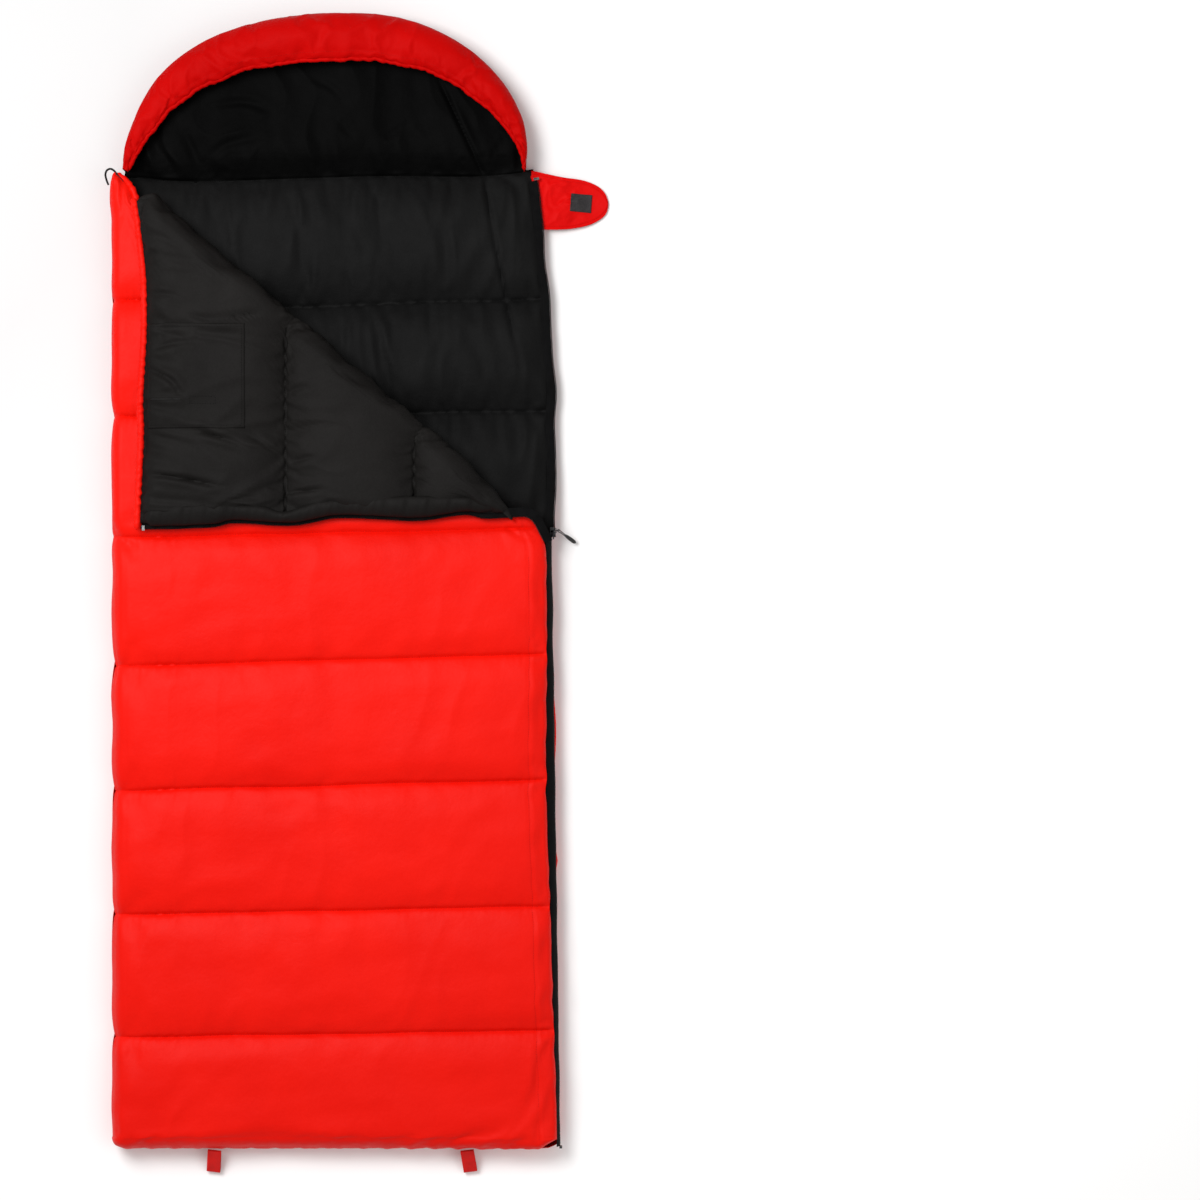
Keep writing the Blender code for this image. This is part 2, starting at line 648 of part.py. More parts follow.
def build_drawcord_loop():
    """The loop of drawcord that comes out of the hem at the neck and goes back into the side fold."""
    height = TOP_UNDER + TOP_LOFT / 2
    exit_point = Vector((*fold_point(-0.0345, HEM_RADIUS), height))
    corner = Vector((-HALF_WIDTH, NECK_Y, height))
    route = [
        exit_point,
        corner + Vector((0.0245, -0.0190, 0.0)),
        corner + Vector((0.0140, -0.0060, 0.0)),
        corner + Vector((0.0085, 0.0020, 0.0)),
        corner + Vector((0.0010, 0.0065, -0.0010)),
        corner + Vector((-0.0065, 0.0040, -0.0030)),
        corner + Vector((-0.0100, -0.0040, -0.0060)),
        corner + Vector((-0.0080, -0.0150, -0.0090)),
        corner + Vector((-0.0050, -0.0230, -0.0120)),
    ]
    points = smooth_path(route, 2)
    line = bpy.data.curves.new("drawcord_loop", "CURVE")
    line.dimensions = "3D"
    line.bevel_depth = CORD_LOOP / 2
    line.bevel_resolution = 2
    line.use_fill_caps = True
    spline = line.splines.new("POLY")
    spline.points.add(len(points) - 1)
    for made, place in zip(spline.points, points):
        made.co = (*place, 1.0)
    line.materials.append(material("cord"))
    cord = bpy.data.objects.new("drawcord_loop", line)
    bpy.context.scene.collection.objects.link(cord)


def build_closed_zip():
    """The closed zip below the slider: two tapes, two coils and the stop at its foot."""
    top = Vector((zip_x(SLIDER_Y), SLIDER_Y, ZIP_Z))
    foot = Vector((zip_x(FOOT_Y + ZIP_END), FOOT_Y + ZIP_END, ZIP_Z))
    ends = [foot, top - (top - foot).normalized() * 0.0005]
    inner, outer = COIL_WIDE + 0.0002, COIL_WIDE + 0.0002 + TAPE_WIDE
    half = TAPE_THICK / 2
    pieces = {
        "closed_tape_upper": ("zip_tape", box_section(-half, half, inner, outer)),
        "closed_tape_lower": ("zip_tape", box_section(-half, half, -outer, -inner)),
        "closed_coil_upper": ("zip_coil", box_section(-COIL_THICK / 2, COIL_THICK / 2, 0.0002, COIL_WIDE)),
        "closed_coil_lower": ("zip_coil", box_section(-COIL_THICK / 2, COIL_THICK / 2, -COIL_WIDE, -0.0002)),
    }
    for name, (finish, section) in pieces.items():
        sweep(name, along(ends, section), finish)
    stop = [foot - (top - foot).normalized() * d for d in (AIR, 0.0052)]
    sweep("zip_bottom_stop", along(stop, box_section(-0.0026, 0.0026, -0.0052, 0.0052)), "zip_metal")
    inside = [p + Vector((-0.0085 - DRAFT_CLOSED_WIDE / 2, 0, 0)) for p in (foot, ends[1])]
    inside[0].y = QUILT_FOOT + 0.012
    tube = round_section(DRAFT_CLOSED_WIDE / 2, DRAFT_CLOSED_THICK / 2, 12)
    sweep("closed_draft_tube", along(inside, tube), "lining")


def build_open_tapes():
    """The two open halves above the slider: one on the bottom quilt, one on the folded corner."""
    start, end = SLIDER_Y + 0.016, NECK_Y - 0.012
    places = [mix(start, end, i / 8) for i in range(9)]
    lap = TAPE_LAP / EDGE_ROUND
    path = [(zip_x(y), y, mix(base_edge(y), BASE_TOP, lap) + TAPE_REST) for y in places]
    tape_out = 0.0050
    coil = box_section(tape_out + 0.0003, tape_out + 0.0003 + COIL_WIDE, -0.0010, COIL_THICK - 0.0010)
    sweep("base_tape", along(path, box_section(-TAPE_LAP, tape_out, 0, TAPE_THICK)), "zip_tape")
    sweep("base_coil", along(path, coil), "zip_coil")
    stop = [(zip_x(end + d), end + d, path[-1][2]) for d in (0.0006, 0.0056)]
    sweep("base_top_stop", along(stop, box_section(-0.002, 0.0088, -0.0012, 0.0030)), "zip_metal")

    height = FLAP_UNDER + FLAP_LIFT + FLAP_EDGE / 2
    right = FLAP_TIP - 0.006
    edge = [(x, FLAP_FOOT - AIR, height) for x in (FLAP_LEFT, mix(FLAP_LEFT, right, 0.5), right)]
    reach = 0.0125
    coil = box_section(reach + 0.0003, reach + 0.0003 + COIL_WIDE, -0.0010, COIL_THICK - 0.0010)
    sweep("flap_tape", along(edge, box_section(0, reach, 0, TAPE_THICK)), "zip_tape")
    sweep("flap_coil", along(edge, coil), "zip_coil")
    stop = [(FLAP_LEFT - d, FLAP_FOOT - AIR, height) for d in (0.0058, 0.0006)]
    sweep("flap_top_stop", along(stop, box_section(0.008, 0.0175, -0.0012, 0.0030)), "zip_metal")


def build_draft_tube():
    """The padded strip on the folded corner's lining, along its zip edge."""
    left, right = FLAP_LEFT + 0.008, FLAP_TIP - 0.068
    height = FLAP_TOP + AIR + DRAFT_THICK / 2
    path = [(mix(left, right, i / 3), FLAP_FOOT + 0.004 + DRAFT_WIDE / 2, height) for i in range(4)]
    section = round_section(DRAFT_WIDE / 2, DRAFT_THICK / 2, 12)
    sweep("flap_draft_tube", along(path, section), "lining")


# ---------------------------------------------------------------- slider and pull
def slider_wing(bm, low, high):
    """One wing: wide where the two coils part, narrower where they leave closed."""
    half = SLIDER_LONG / 2
    wide, narrow = SLIDER_WIDE / 2, SLIDER_WIDE * 0.38
    outline = [
        (-half, -narrow), (-half * 0.1, -narrow * 1.05), (half * 0.55, -wide), (half * 0.9, -wide * 0.86),
        (half, -wide * 0.3), (half, wide * 0.3), (half * 0.9, wide * 0.86), (half * 0.55, wide),
        (-half * 0.1, narrow * 1.05), (-half, narrow),
    ]  # fmt: skip
    face = bm.faces.new([bm.verts.new((low, y, z)) for y, z in outline])
    grown = bmesh.ops.extrude_face_region(bm, geom=[face], use_keep_orig=True)
    corners = [g for g in grown["geom"] if isinstance(g, bmesh.types.BMVert)]
    bmesh.ops.translate(bm, verts=corners, vec=(high - low, 0, 0))


def solid_box(bm, low, high):
    made = bmesh.ops.create_cube(bm, size=1.0)
    size = Vector(high) - Vector(low)
    middle = (Vector(high) + Vector(low)) / 2
    for vert in made["verts"]:
        vert.co = Vector(vert.co[i] * size[i] for i in range(3)) + middle


def helper(name, bm, parent):
    """A shape that a Boolean reads and the model leaves out."""
    obj = add_object(name, bm, "zip_metal", parent)
    obj.hide_render = True
    obj.display_type = "WIRE"
    return obj


def build_slider(parent):
    """Two wings joined by a post, with lips that hold the coils and a bail for the pull."""
    half = SLIDER_DEEP / 2
    bm = bmesh.new()
    slider_wing(bm, half - WING, half)
    slider = add_object("slider_body", bm, "zip_metal", parent)

    bm = bmesh.new()
    slider_wing(bm, -half, -half + WING)
    pieces = [helper("slider_inner_wing", bm, parent)]

    lip_z = SLIDER_WIDE * 0.38
    for label, side in (("outer", 1), ("inner", -1)):
        for edge, way in (("upper", 1), ("lower", -1)):
            bm = bmesh.new()
            near, far = sorted((side * LIP_IN, side * (half - WING * 0.4)))
            low_z, high_z = sorted((way * (lip_z - 0.0012), way * lip_z))
            solid_box(bm, (near, -SLIDER_LONG / 2, low_z), (far, SLIDER_LONG * 0.05, high_z))
            pieces.append(helper(f"slider_{label}_{edge}_lip", bm, parent))

    bm = bmesh.new()
    post_y = SLIDER_LONG / 2 - POST_LONG - 0.0008
    solid_box(
        bm, (-half + WING / 2, post_y, -POST_WIDE / 2), (half - WING / 2, post_y + POST_LONG, POST_WIDE / 2)
    )
    pieces.append(helper("slider_post", bm, parent))

    bm = bmesh.new()
    leg, foot = BAIL_WIRE, half - WING / 2
    near, far = BAIL_MIDDLE - BAIL_LONG / 2, BAIL_MIDDLE + BAIL_LONG / 2
    solid_box(bm, (foot, near, -leg / 2), (half + BAIL_HIGH, near + leg, leg / 2))
    pieces.append(helper("slider_bail_foot", bm, parent))
    bm = bmesh.new()
    solid_box(bm, (foot, far - leg, -leg / 2), (half + BAIL_HIGH, far, leg / 2))
    pieces.append(helper("slider_bail_head", bm, parent))
    bm = bmesh.new()
    low = (half + BAIL_HIGH - leg, near + leg / 2, -leg / 2)
    solid_box(bm, low, (half + BAIL_HIGH, far - leg / 2, leg / 2))
    pieces.append(helper("slider_bail_bar", bm, parent))

    for piece in pieces:
        union = slider.modifiers.new(piece.name, "BOOLEAN")
        union.operation = "UNION"
        union.solver = "EXACT"
        union.object = piece


def ring_sections(radius, wire, place, axis_a, axis_b, turns=20, sides=8):
    """Sections of a round ring that lies in the plane of two directions."""
    sections = []
    for i in range(turns):
        t = 2 * pi * i / turns
        spoke = axis_a * cos(t) + axis_b * sin(t)
        lift = axis_a.cross(axis_b)
        middle = place + spoke * radius
        sections.append([middle + spoke * a + lift * b for a, b in round_section(wire / 2, wire / 2, sides)])
    return sections


def build_pull(slider):
    """The ring on the bail, and the corded grip on the ring. Both are placed from the bail's bar."""
    bar = (SLIDER_DEEP / 2 + BAIL_HIGH - BAIL_WIRE / 2, BAIL_MIDDLE, 0)
    parent = add_empty("pull_hinge", bar, (0, radians(PULL_SLOPE), 0), slider)
    turn = radians(PULL_TURN)
    out = Vector((cos(turn), sin(turn), 0))
    flat = Vector((-out.y, out.x, 0))
    level = Vector((1, 0, 0))
    slack = BAIL_WIRE / 2 + RING_WIRE / 2 + AIR
    ring_middle = Vector((RING_RADIUS - slack, 0, 0))
    ring = ring_sections(RING_RADIUS, RING_WIRE, ring_middle, level, Vector((0, 0, 1)))
    sweep("pull_ring", ring, "zip_metal", parent, ring=True)

    far = ring_middle + level * RING_RADIUS
    loop_half = RING_WIRE / 2 + PULL_CORD / 2 + 0.0005
    route = []
    for i in range(9):
        t = -pi / 2 + pi * i / 8
        route.append(far - out * loop_half * cos(t) + flat * loop_half * sin(t))
    tail = [far + out * PULL_CORD_LONG * share for share in (0.45, 1.0)]
    spread = PULL_CORD / 2 + 0.0002
    path = [tail[1] - flat * spread, tail[0] - flat * spread * 1.1, *route]
    path += [tail[0] + flat * spread * 1.1, tail[1] + flat * spread]
    sections = square_to(path, round_section(PULL_CORD / 2 * 0.9, PULL_CORD / 2 * 0.9, 8))
    sweep("pull_cord", sections, "cord", parent)

    start = far + out * (PULL_CORD_LONG + AIR)
    shape = ((0, 0.62), (0.06, 0.84), (0.2, 1.0), (0.8, 1.0), (0.94, 0.84), (1.0, 0.55))
    sections = []
    for share, size in shape:
        middle = start + out * GRIP_LONG * share
        ring_points = round_section(GRIP_WIDE / 2 * size, GRIP_THICK / 2 * size, 12)
        sections.append([middle + flat * a + Vector((0, 0, b)) for a, b in ring_points])
    sweep("pull_grip", sections, "rubber", parent)


# ---------------------------------------------------------------- small sewn pieces
def build_closing_tab(parent):
    """The round-ended tab at the neck, which closes over the slider, with its hook patch."""
    half_root, half_tip = TAB_ROOT / 2, TAB_TIP / 2
    straight = TAB_LONG - half_tip - 0.012
    outline = [(AIR, -half_root), (straight * 0.6, -half_root * 0.97)]
    for i in range(9):
        t = -pi / 2 + pi * i / 8
        reach = straight + (TAB_LONG - straight) * cos(t)
        outline.append((reach, mix(half_root * 0.80, half_tip, 0.35) * 1.16 * sin(t)))
    outline += [(straight * 0.6, half_root * 0.90), (AIR, half_root)]
    low, high = -TAB_THICK, 0.0
    sweep("closing_tab", [[(x, y, z) for x, y in outline] for z in (low, high)], "outer_cloth", parent)
    middle, half = TAB_LONG - 0.060, PATCH / 2
    corners = [(middle - half, -half), (middle + half, -half), (middle + half, half), (middle - half, half)]
    patch = [[(x, y, z) for x, y in corners] for z in (AIR, AIR + PATCH_THICK)]
    sweep("hook_patch", patch, "hook_loop", parent)


def build_loop_patch():
    """The soft patch under the folded corner's outer cloth, which the tab's hooks take."""
    x, y = FLAP_LEFT + 0.060, FLAP_FOOT + 0.080
    low = FLAP_UNDER - AIR - PATCH_THICK
    half = PATCH / 2
    corners = [(x - half, y - half), (x + half, y - half), (x + half, y + half), (x - half, y + half)]
    sweep("loop_patch", [[(a, b, z) for a, b in corners] for z in (low, low + PATCH_THICK)], "hook_loop")


def build_pocket():
    """The flat inner pocket on the folded corner's lining, with the strip that closes its mouth."""
    left = FLAP_LEFT + 0.014
    foot = FLAP_FOOT + 0.190
    low = FLAP_TOP + AIR
    panel = [(left, foot), (left + POCKET_LONG, foot), (left + POCKET_LONG, foot + POCKET_WIDE)]
    panel.append((left, foot + POCKET_WIDE))
    sweep("pocket_panel", [[(x, y, z) for x, y in panel] for z in (low, low + POCKET_THICK)], "lining")
    low += POCKET_THICK + AIR
    mouth = [(left + 0.060, foot + 0.038), (left + 0.160, foot + 0.038)]
    strip = [*mouth, *[(x, y + 0.012) for x, y in reversed(mouth)]]
    sweep("pocket_closure", [[(x, y, z) for x, y in strip] for z in (low, low + PATCH_THICK)], "hook_loop")


def build_hang_loop(name, parent):
    """A loop of webbing, open for a line or a peg, sewn into the foot seam."""
    strap = LOOP_STRAP
    half = LOOP_OPEN / 2
    steps = 6
    outer = [(0.0, -strap - 0.0010)]
    inner = [(0.0, -0.0010)]
    bow = [(-pi / 2 + pi * i / steps) for i in range(steps + 1)]
    end = LOOP_LONG - half - strap
    outer += [(end + (half + strap) * cos(t), (half + strap) * sin(t)) for t in bow]
    inner += [(end + half * cos(t), half * sin(t)) for t in bow]
    outer.append((0.0, strap + 0.0010))
    inner.append((0.0, 0.0010))
    profile = outer + inner[::-1]
    sides = (-LOOP_WIDE / 2, LOOP_WIDE / 2)
    return sweep(name, [[(x, -y, z) for y, z in profile] for x in sides], "webbing", parent)


# ---------------------------------------------------------------- the whole bag
def build_bag():
    build_base_quilt()
    build_top_quilt()
    build_turns()
    build_flap()
    build_fold_roll()
    build_neck_hem()
    build_drawcord_loop()
    build_closed_zip()
    build_open_tapes()
    build_draft_tube()
    build_pocket()
    build_loop_patch()

    build_hood_back()
    build_brim()
    hang("flap_hinge", (*FOLD_START, HINGE_Z), FLAP_PIECES)
    hang("hood_hinge", (HOOD_MIDDLE, NECK_Y, BRIM_FOOT), HOOD_PIECES)

    slope = (zip_x(FOOT_Y) - zip_x(SLIDER_Y)) / (SLIDER_Y - FOOT_Y)
    slider = add_empty("slider_place", (zip_x(SLIDER_Y), SLIDER_Y, ZIP_Z), (0, 0, slope))
    build_slider(slider)
    build_pull(slider)

    tab_y = NECK_Y - TAB_DROP - TAB_ROOT / 2
    lean = (zip_x(tab_y - TAB_ROOT / 2) - zip_x(tab_y + TAB_ROOT / 2)) / TAB_ROOT
    tab_place = (zip_x(tab_y) + 0.0115, tab_y, ZIP_Z - ZIP_STEP)
    tab = add_empty("tab_hinge", tab_place, (0, radians(TAB_SLOPE), lean))
    build_closing_tab(tab)

    for name, x, skew in zip(("hang_loop_left", "hang_loop_right"), LOOP_PLACES, LOOP_SKEWS):
        corner = LOOP_WIDE / 2 * sin(radians(abs(skew)))
        place = (x, FOOT_Y - AIR - 2 * LOOP_STRAP - corner, ZIP_Z)
        loop = add_empty(f"{name}_hinge", place, (radians(LOOP_SLOPE), 0, radians(skew)))
        build_hang_loop(name, loop)


clear_scene()
build_bag()
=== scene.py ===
"""Rectangular hooded sleeping bag, unzipped to the elbow and lying open on a pale floor.

The looks of the bag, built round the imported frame. Metres, +Y towards the hood, +X towards the zip, +Z up.
Quilts are grids of points whose rows or columns follow the stitched lines; Blender's Cloth wrinkles them.
"""

import bmesh
import bpy
import numpy as np
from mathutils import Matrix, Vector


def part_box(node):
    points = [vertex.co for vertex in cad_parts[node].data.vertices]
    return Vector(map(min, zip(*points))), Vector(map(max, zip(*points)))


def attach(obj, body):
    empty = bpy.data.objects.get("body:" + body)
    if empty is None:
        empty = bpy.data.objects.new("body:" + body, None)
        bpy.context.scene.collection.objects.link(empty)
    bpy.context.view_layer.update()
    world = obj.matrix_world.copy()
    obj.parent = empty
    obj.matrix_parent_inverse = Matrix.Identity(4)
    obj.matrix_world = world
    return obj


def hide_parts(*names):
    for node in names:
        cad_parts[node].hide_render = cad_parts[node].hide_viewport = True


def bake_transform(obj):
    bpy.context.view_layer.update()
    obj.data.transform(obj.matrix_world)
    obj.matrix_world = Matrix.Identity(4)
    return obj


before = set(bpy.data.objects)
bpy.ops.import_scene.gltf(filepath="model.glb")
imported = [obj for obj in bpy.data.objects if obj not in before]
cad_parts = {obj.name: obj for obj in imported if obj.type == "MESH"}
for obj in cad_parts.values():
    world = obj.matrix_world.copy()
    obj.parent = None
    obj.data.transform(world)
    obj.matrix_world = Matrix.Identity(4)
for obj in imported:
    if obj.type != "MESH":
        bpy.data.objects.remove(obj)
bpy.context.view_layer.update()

# the bag's outline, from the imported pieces
FOOT_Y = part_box("foot_shell")[0][1]
LEFT_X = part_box("side_fold_shell")[0][0]
NECK_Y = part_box("base_shell")[1][1] + 0.0025
HALF_WIDTH = -LEFT_X
SHOULDER_TAPER, FOOT_FLARE = 0.035, 0.017
ELBOW_Y, SLIDER_Y = NECK_Y - 0.440, NECK_Y - 0.697
TURN = 0.024  # how far the side fold and the foot stand out
INNER_LEFT, INNER_FOOT = LEFT_X + TURN, FOOT_Y + TURN
ZIP_Z = 0.038
FOLD_START, FOLD_END = np.array([-0.372, 0.732]), np.array([0.391, 0.0845])
FOLD_LONG = np.hypot(*(FOLD_END - FOLD_START))
FOLD_ALONG = (FOLD_END - FOLD_START) / FOLD_LONG
FOLD_OUT = np.array([-FOLD_ALONG[1], FOLD_ALONG[0]])
HINGE_Z = 0.078
HOOD_MIDDLE = -0.0115

# heights of the quilts, in a stitched line and in the middle of a channel
BASE_VALLEY, BASE_CREST = 0.0115, 0.032
TOP_VALLEY, TOP_CREST = 0.0615, 0.077
UNDER_VALLEY, UNDER_CREST = 0.056, 0.0445
FLAP_VALLEY, FLAP_CREST = 0.0925, 0.112
CLOTH = 0.0007
SHARP_ANGLE = np.radians(50)

# stitched lines across the bag: (place at the middle, slope towards the zip)
TOP_LINES = (
    (-0.8737, 0.017), (-0.6360, 0.020), (-0.3943, 0.0257), (-0.1527, 0.0286), (0.0935, 0.020),
    (0.3210, 0.0), (0.5450, 0.0),
)  # fmt: skip
BASE_LINES = (
    (-0.8750, 0.0), (-0.6345, 0.0), (-0.3940, 0.0), (-0.1535, 0.0), (0.0870, 0.0),
    (0.3240, 0.023), (0.5370, 0.034),
)  # fmt: skip
FLAP_LINES = (-0.085, 0.1624)  # the stitched lines of the folded corner, across its width
NECK_SEAM = (
    (-0.440, 0.7920), (-0.392, 0.7915), (-0.253, 0.7825), (0.081, 0.7925), (0.294, 0.7920), (0.400, 0.8040),
)  # fmt: skip
FLAP_TAPE_EDGE = (
    (-0.372, 0.1035), (-0.348, 0.0975), (-0.226, 0.1015), (-0.182, 0.1095), (-0.072, 0.1045),
    (0.008, 0.1185), (0.085, 0.1175), (0.172, 0.1140), (0.259, 0.1255), (0.298, 0.1185),
    (0.372, 0.1225),
)  # fmt: skip
FLAP_LEFT_EDGE = (
    (0.095, -0.3660), (0.275, -0.3580), (0.352, -0.3590), (0.468, -0.3525), (0.545, -0.3520),
    (0.600, -0.3545), (0.700, -0.3655), (0.745, -0.3740),
)  # fmt: skip


# ---------------------------------------------------------------- camera, light and floor
VIEW_MIDDLE, VIEW_WIDE, CAMERA_HIGH = (0.520, -0.035), 2.3196, 6.0
CHEST_HIGH = 0.06  # the height at which the view is that wide
LIGHTS = (  # name, place, size, power
    ("key_light", (-1.2, 1.1, 3.2), 1.6, 119),
    ("fill_light", (2.4, -0.6, 3.6), 2.4, 26),
)


def aim(obj, target):
    """Turns an object so that its -Z looks at the target."""
    look = np.array(target) - np.array(obj.location)
    level = np.hypot(look[0], look[1])
    obj.rotation_euler = (np.arctan2(level, -look[2]), 0, np.arctan2(-look[0], look[1]) if level else 0)


def add_camera():
    """Looks straight down from above the middle of the view, with +Y up."""
    lens = bpy.data.cameras.new("camera")
    lens.sensor_width = 36
    lens.lens = lens.sensor_width * (CAMERA_HIGH - CHEST_HIGH) / VIEW_WIDE
    camera = bpy.data.objects.new("camera", lens)
    camera.location = (*VIEW_MIDDLE, CAMERA_HIGH)
    bpy.context.scene.collection.objects.link(camera)
    bpy.context.scene.camera = camera


def add_studio():
    """A soft pale room: even light from all sides, a key light at the upper left and a faint fill."""
    scene = bpy.context.scene
    scene.view_settings.view_transform = "Standard"
    world = bpy.data.worlds.new("studio")
    world.use_nodes = True
    world.node_tree.nodes["Background"].inputs["Color"].default_value = (1.0, 0.99, 0.98, 1)
    world.node_tree.nodes["Background"].inputs["Strength"].default_value = 0.56
    scene.world = world
    for name, place, size, power in LIGHTS:
        light = bpy.data.lights.new(name, "AREA")
        light.energy = power
        light.size = size
        lamp = bpy.data.objects.new(name, light)
        lamp.location = place
        scene.collection.objects.link(lamp)
        aim(lamp, (0, 0, 0))
    floor = grid_piece("floor", plane_grid((-8, 8), (-8, 8), 0.0), paper_floor(), thick=0)


# ---------------------------------------------------------------- meshes
def plane_grid(across, along, height):
    """Four corners of a level rectangle."""
    x, y = np.meshgrid(np.array(across, float), np.array(along, float))
    return np.stack([x, y, np.full_like(x, height)], -1)


def quads_of(rows, columns, ring_columns=False):
    """Corner numbers of a grid's quads; a ring joins its last column to the first."""
    index = np.arange(rows * columns).reshape(rows, columns)
    if ring_columns:
        index = np.hstack([index, index[:, :1]])
    return np.stack([index[:-1, :-1], index[:-1, 1:], index[1:, 1:], index[1:, :-1]], -1).reshape(-1, 4)


def make_mesh(name, points, quads):
    """A mesh of points and quads."""
    mesh = bpy.data.meshes.new(name)
    points = np.ascontiguousarray(points.reshape(-1, 3), np.float32)
    mesh.vertices.add(len(points))
    mesh.vertices.foreach_set("co", points.ravel())
    mesh.loops.add(quads.size)
    mesh.loops.foreach_set("vertex_index", quads.ravel().astype(np.int32))
    mesh.polygons.add(len(quads))
    mesh.polygons.foreach_set("loop_start", np.arange(0, quads.size, 4, dtype=np.int32))
    mesh.update(calc_edges=True)
    mesh.validate()
    return mesh


def add_piece(name, mesh, material, thick=0.0, merge=True):
    """Links a mesh as one object at the origin, merged, shaded smooth and given its thickness inwards."""
    if merge:
        bm = bmesh.new()
        bm.from_mesh(mesh)
        bmesh.ops.remove_doubles(bm, verts=bm.verts, dist=2e-6)
        bmesh.ops.dissolve_degenerate(bm, edges=bm.edges, dist=1e-6)
        bm.to_mesh(mesh)
        bm.free()
    mesh.shade_smooth()
    mesh.set_sharp_from_angle(angle=SHARP_ANGLE)
    mesh.materials.append(material)
    obj = bpy.data.objects.new(name, mesh)
    bpy.context.scene.collection.objects.link(obj)
    if thick:
        wall = obj.modifiers.new("thickness", "SOLIDIFY")
        wall.thickness = thick
        wall.offset = -1
        wall.use_even_offset = False
    return obj


def grid_piece(name, points, material, thick=CLOTH, **ring):
    """One object from a grid of points [row, column, xyz]."""
    rows, columns = points.shape[:2]
    return add_piece(name, make_mesh(name, points, quads_of(rows, columns, **ring)), material, thick)


def closed_tube(points):
    """A grid of rings with a point in the middle of each end, so that the tube is closed."""
    first = np.repeat(points[:1].mean(axis=1, keepdims=True), points.shape[1], axis=1)
    last = np.repeat(points[-1:].mean(axis=1, keepdims=True), points.shape[1], axis=1)
    return np.concatenate([first, points, last])


def smooth(t):
    """3t^2 - 2t^3: goes gently from 0 to 1."""
    t = np.clip(t, 0, 1)
    return t * t * (3 - 2 * t)


def mix(a, b, t):
    """a at 0 and b at 1."""
    return a + (b - a) * t


def curve_through(stops, steps):
    """A smooth curve (Catmull-Rom) through given points, with that many steps to a stretch."""
    p = np.array(stops, float)
    p = np.vstack([2 * p[0] - p[1], p, 2 * p[-1] - p[-2]])
    t = np.linspace(0, 1, steps, endpoint=False)[None, :, None]
    a, b, c, d = (p[i : len(p) - 3 + i, None] for i in range(4))
    bend = (2 * a - 5 * b + 4 * c - d) * t**2 + (3 * b - a - 3 * c + d) * t**3
    curve = 0.5 * (2 * b + (c - a) * t + bend)
    return np.vstack([curve.reshape(-1, p.shape[1]), p[-2]])


def evenly(line, count):
    """The line read at that many points, evenly along its length."""
    reach = np.concatenate([[0], np.cumsum(np.linalg.norm(np.diff(line, axis=0), axis=1))])
    places = np.linspace(0, reach[-1], count)
    return np.stack([np.interp(places, reach, line[:, i]) for i in range(line.shape[1])], -1)


def length_of(line):
    """Metres along a line of points."""
    return float(np.linalg.norm(np.diff(line, axis=0), axis=1).sum())


def along_curve(stops, places):
    """The second coordinate of a smooth curve through the stops, at places on the first."""
    curve = curve_through(stops, 12)
    return np.interp(places, curve[:, 0], curve[:, 1])


def ripple(places, wave, seed):
    """Uneven waves about that long, between -1 and 1: four sines of seeded lengths and starts."""
    dice = np.random.default_rng(seed)
    waves, starts = dice.uniform(0.65, 1.9, 4), dice.uniform(0, 2 * np.pi, 4)
    return sum(np.sin(2 * np.pi * places / (wave * k) + s) for k, s in zip(waves, starts)) / 2.6


def cloud(x, y, wave, seed):
    """Soft uneven lumps about that wide: six sines in seeded directions."""
    dice = np.random.default_rng(seed)
    turns, starts = dice.uniform(0, np.pi, 6), dice.uniform(0, 2 * np.pi, 6)
    waves = dice.uniform(0.7, 1.7, 6) * wave
    total = 0
    for turn, start, long in zip(turns, starts, waves):
        total = total + np.sin(2 * np.pi * (x * np.cos(turn) + y * np.sin(turn)) / long + start)
    return total / 3.2


def across_lines(count, per_channel, squeeze=0.13):
    """Grid places over some channels; whole numbers are stitched lines, and places crowd next to them."""
    s = np.linspace(0, 1, per_channel, endpoint=False)
    t = s - squeeze * np.sin(2 * np.pi * s)
    return np.concatenate([(np.arange(count)[:, None] + t).ravel(), [count]])


def read_lines(lines, places):
    """Between neighbouring lines [line, ...] at fractional places: one row of points for each place."""
    k = np.clip(np.floor(places).astype(int), 0, len(lines) - 2)
    t = (places - k)[:, None]
    return lines[k] * (1 - t) + lines[k + 1] * t


def fullness(places, power=3.0):
    """1 in the middle of a channel and 0 in its stitched lines: 1 - |2t - 1|^power."""
    return 1 - np.abs(2 * (places % 1) - 1) ** power


def nearest_line(places, widths):
    """Distance to the nearer stitched line, for channels of those widths."""
    k = np.clip(np.floor(places).astype(int), 0, len(widths) - 1)
    t = places - k
    return np.minimum(t, 1 - t) * widths[k]


def round_over(a, b):
    """The rounded side and foot: how far out a point goes, 0 to 1, and its share of the height.

    The square of the two sines a and b is laid on a quarter disc, so that the corner is round too."""
    out_x, out_y = a * np.sqrt(1 - b * b / 2), b * np.sqrt(1 - a * a / 2)
    return out_x, out_y, np.sqrt(np.clip(1 - out_x**2 - out_y**2, 0, 1))


# ---------------------------------------------------------------- cloth simulation
CLOTH_FRAMES = 22


def stretched(values, rows, columns, all_rows, all_columns):
    """Displacements on some rows and columns of a grid, read on all of them."""
    wide = np.stack([[np.interp(all_columns, columns, row[:, i]) for row in values] for i in range(3)], -1)
    tall = [[np.interp(all_rows, rows, wide[:, j, i]) for j in range(wide.shape[1])] for i in range(3)]
    return np.transpose(np.array(tall), (2, 1, 0))


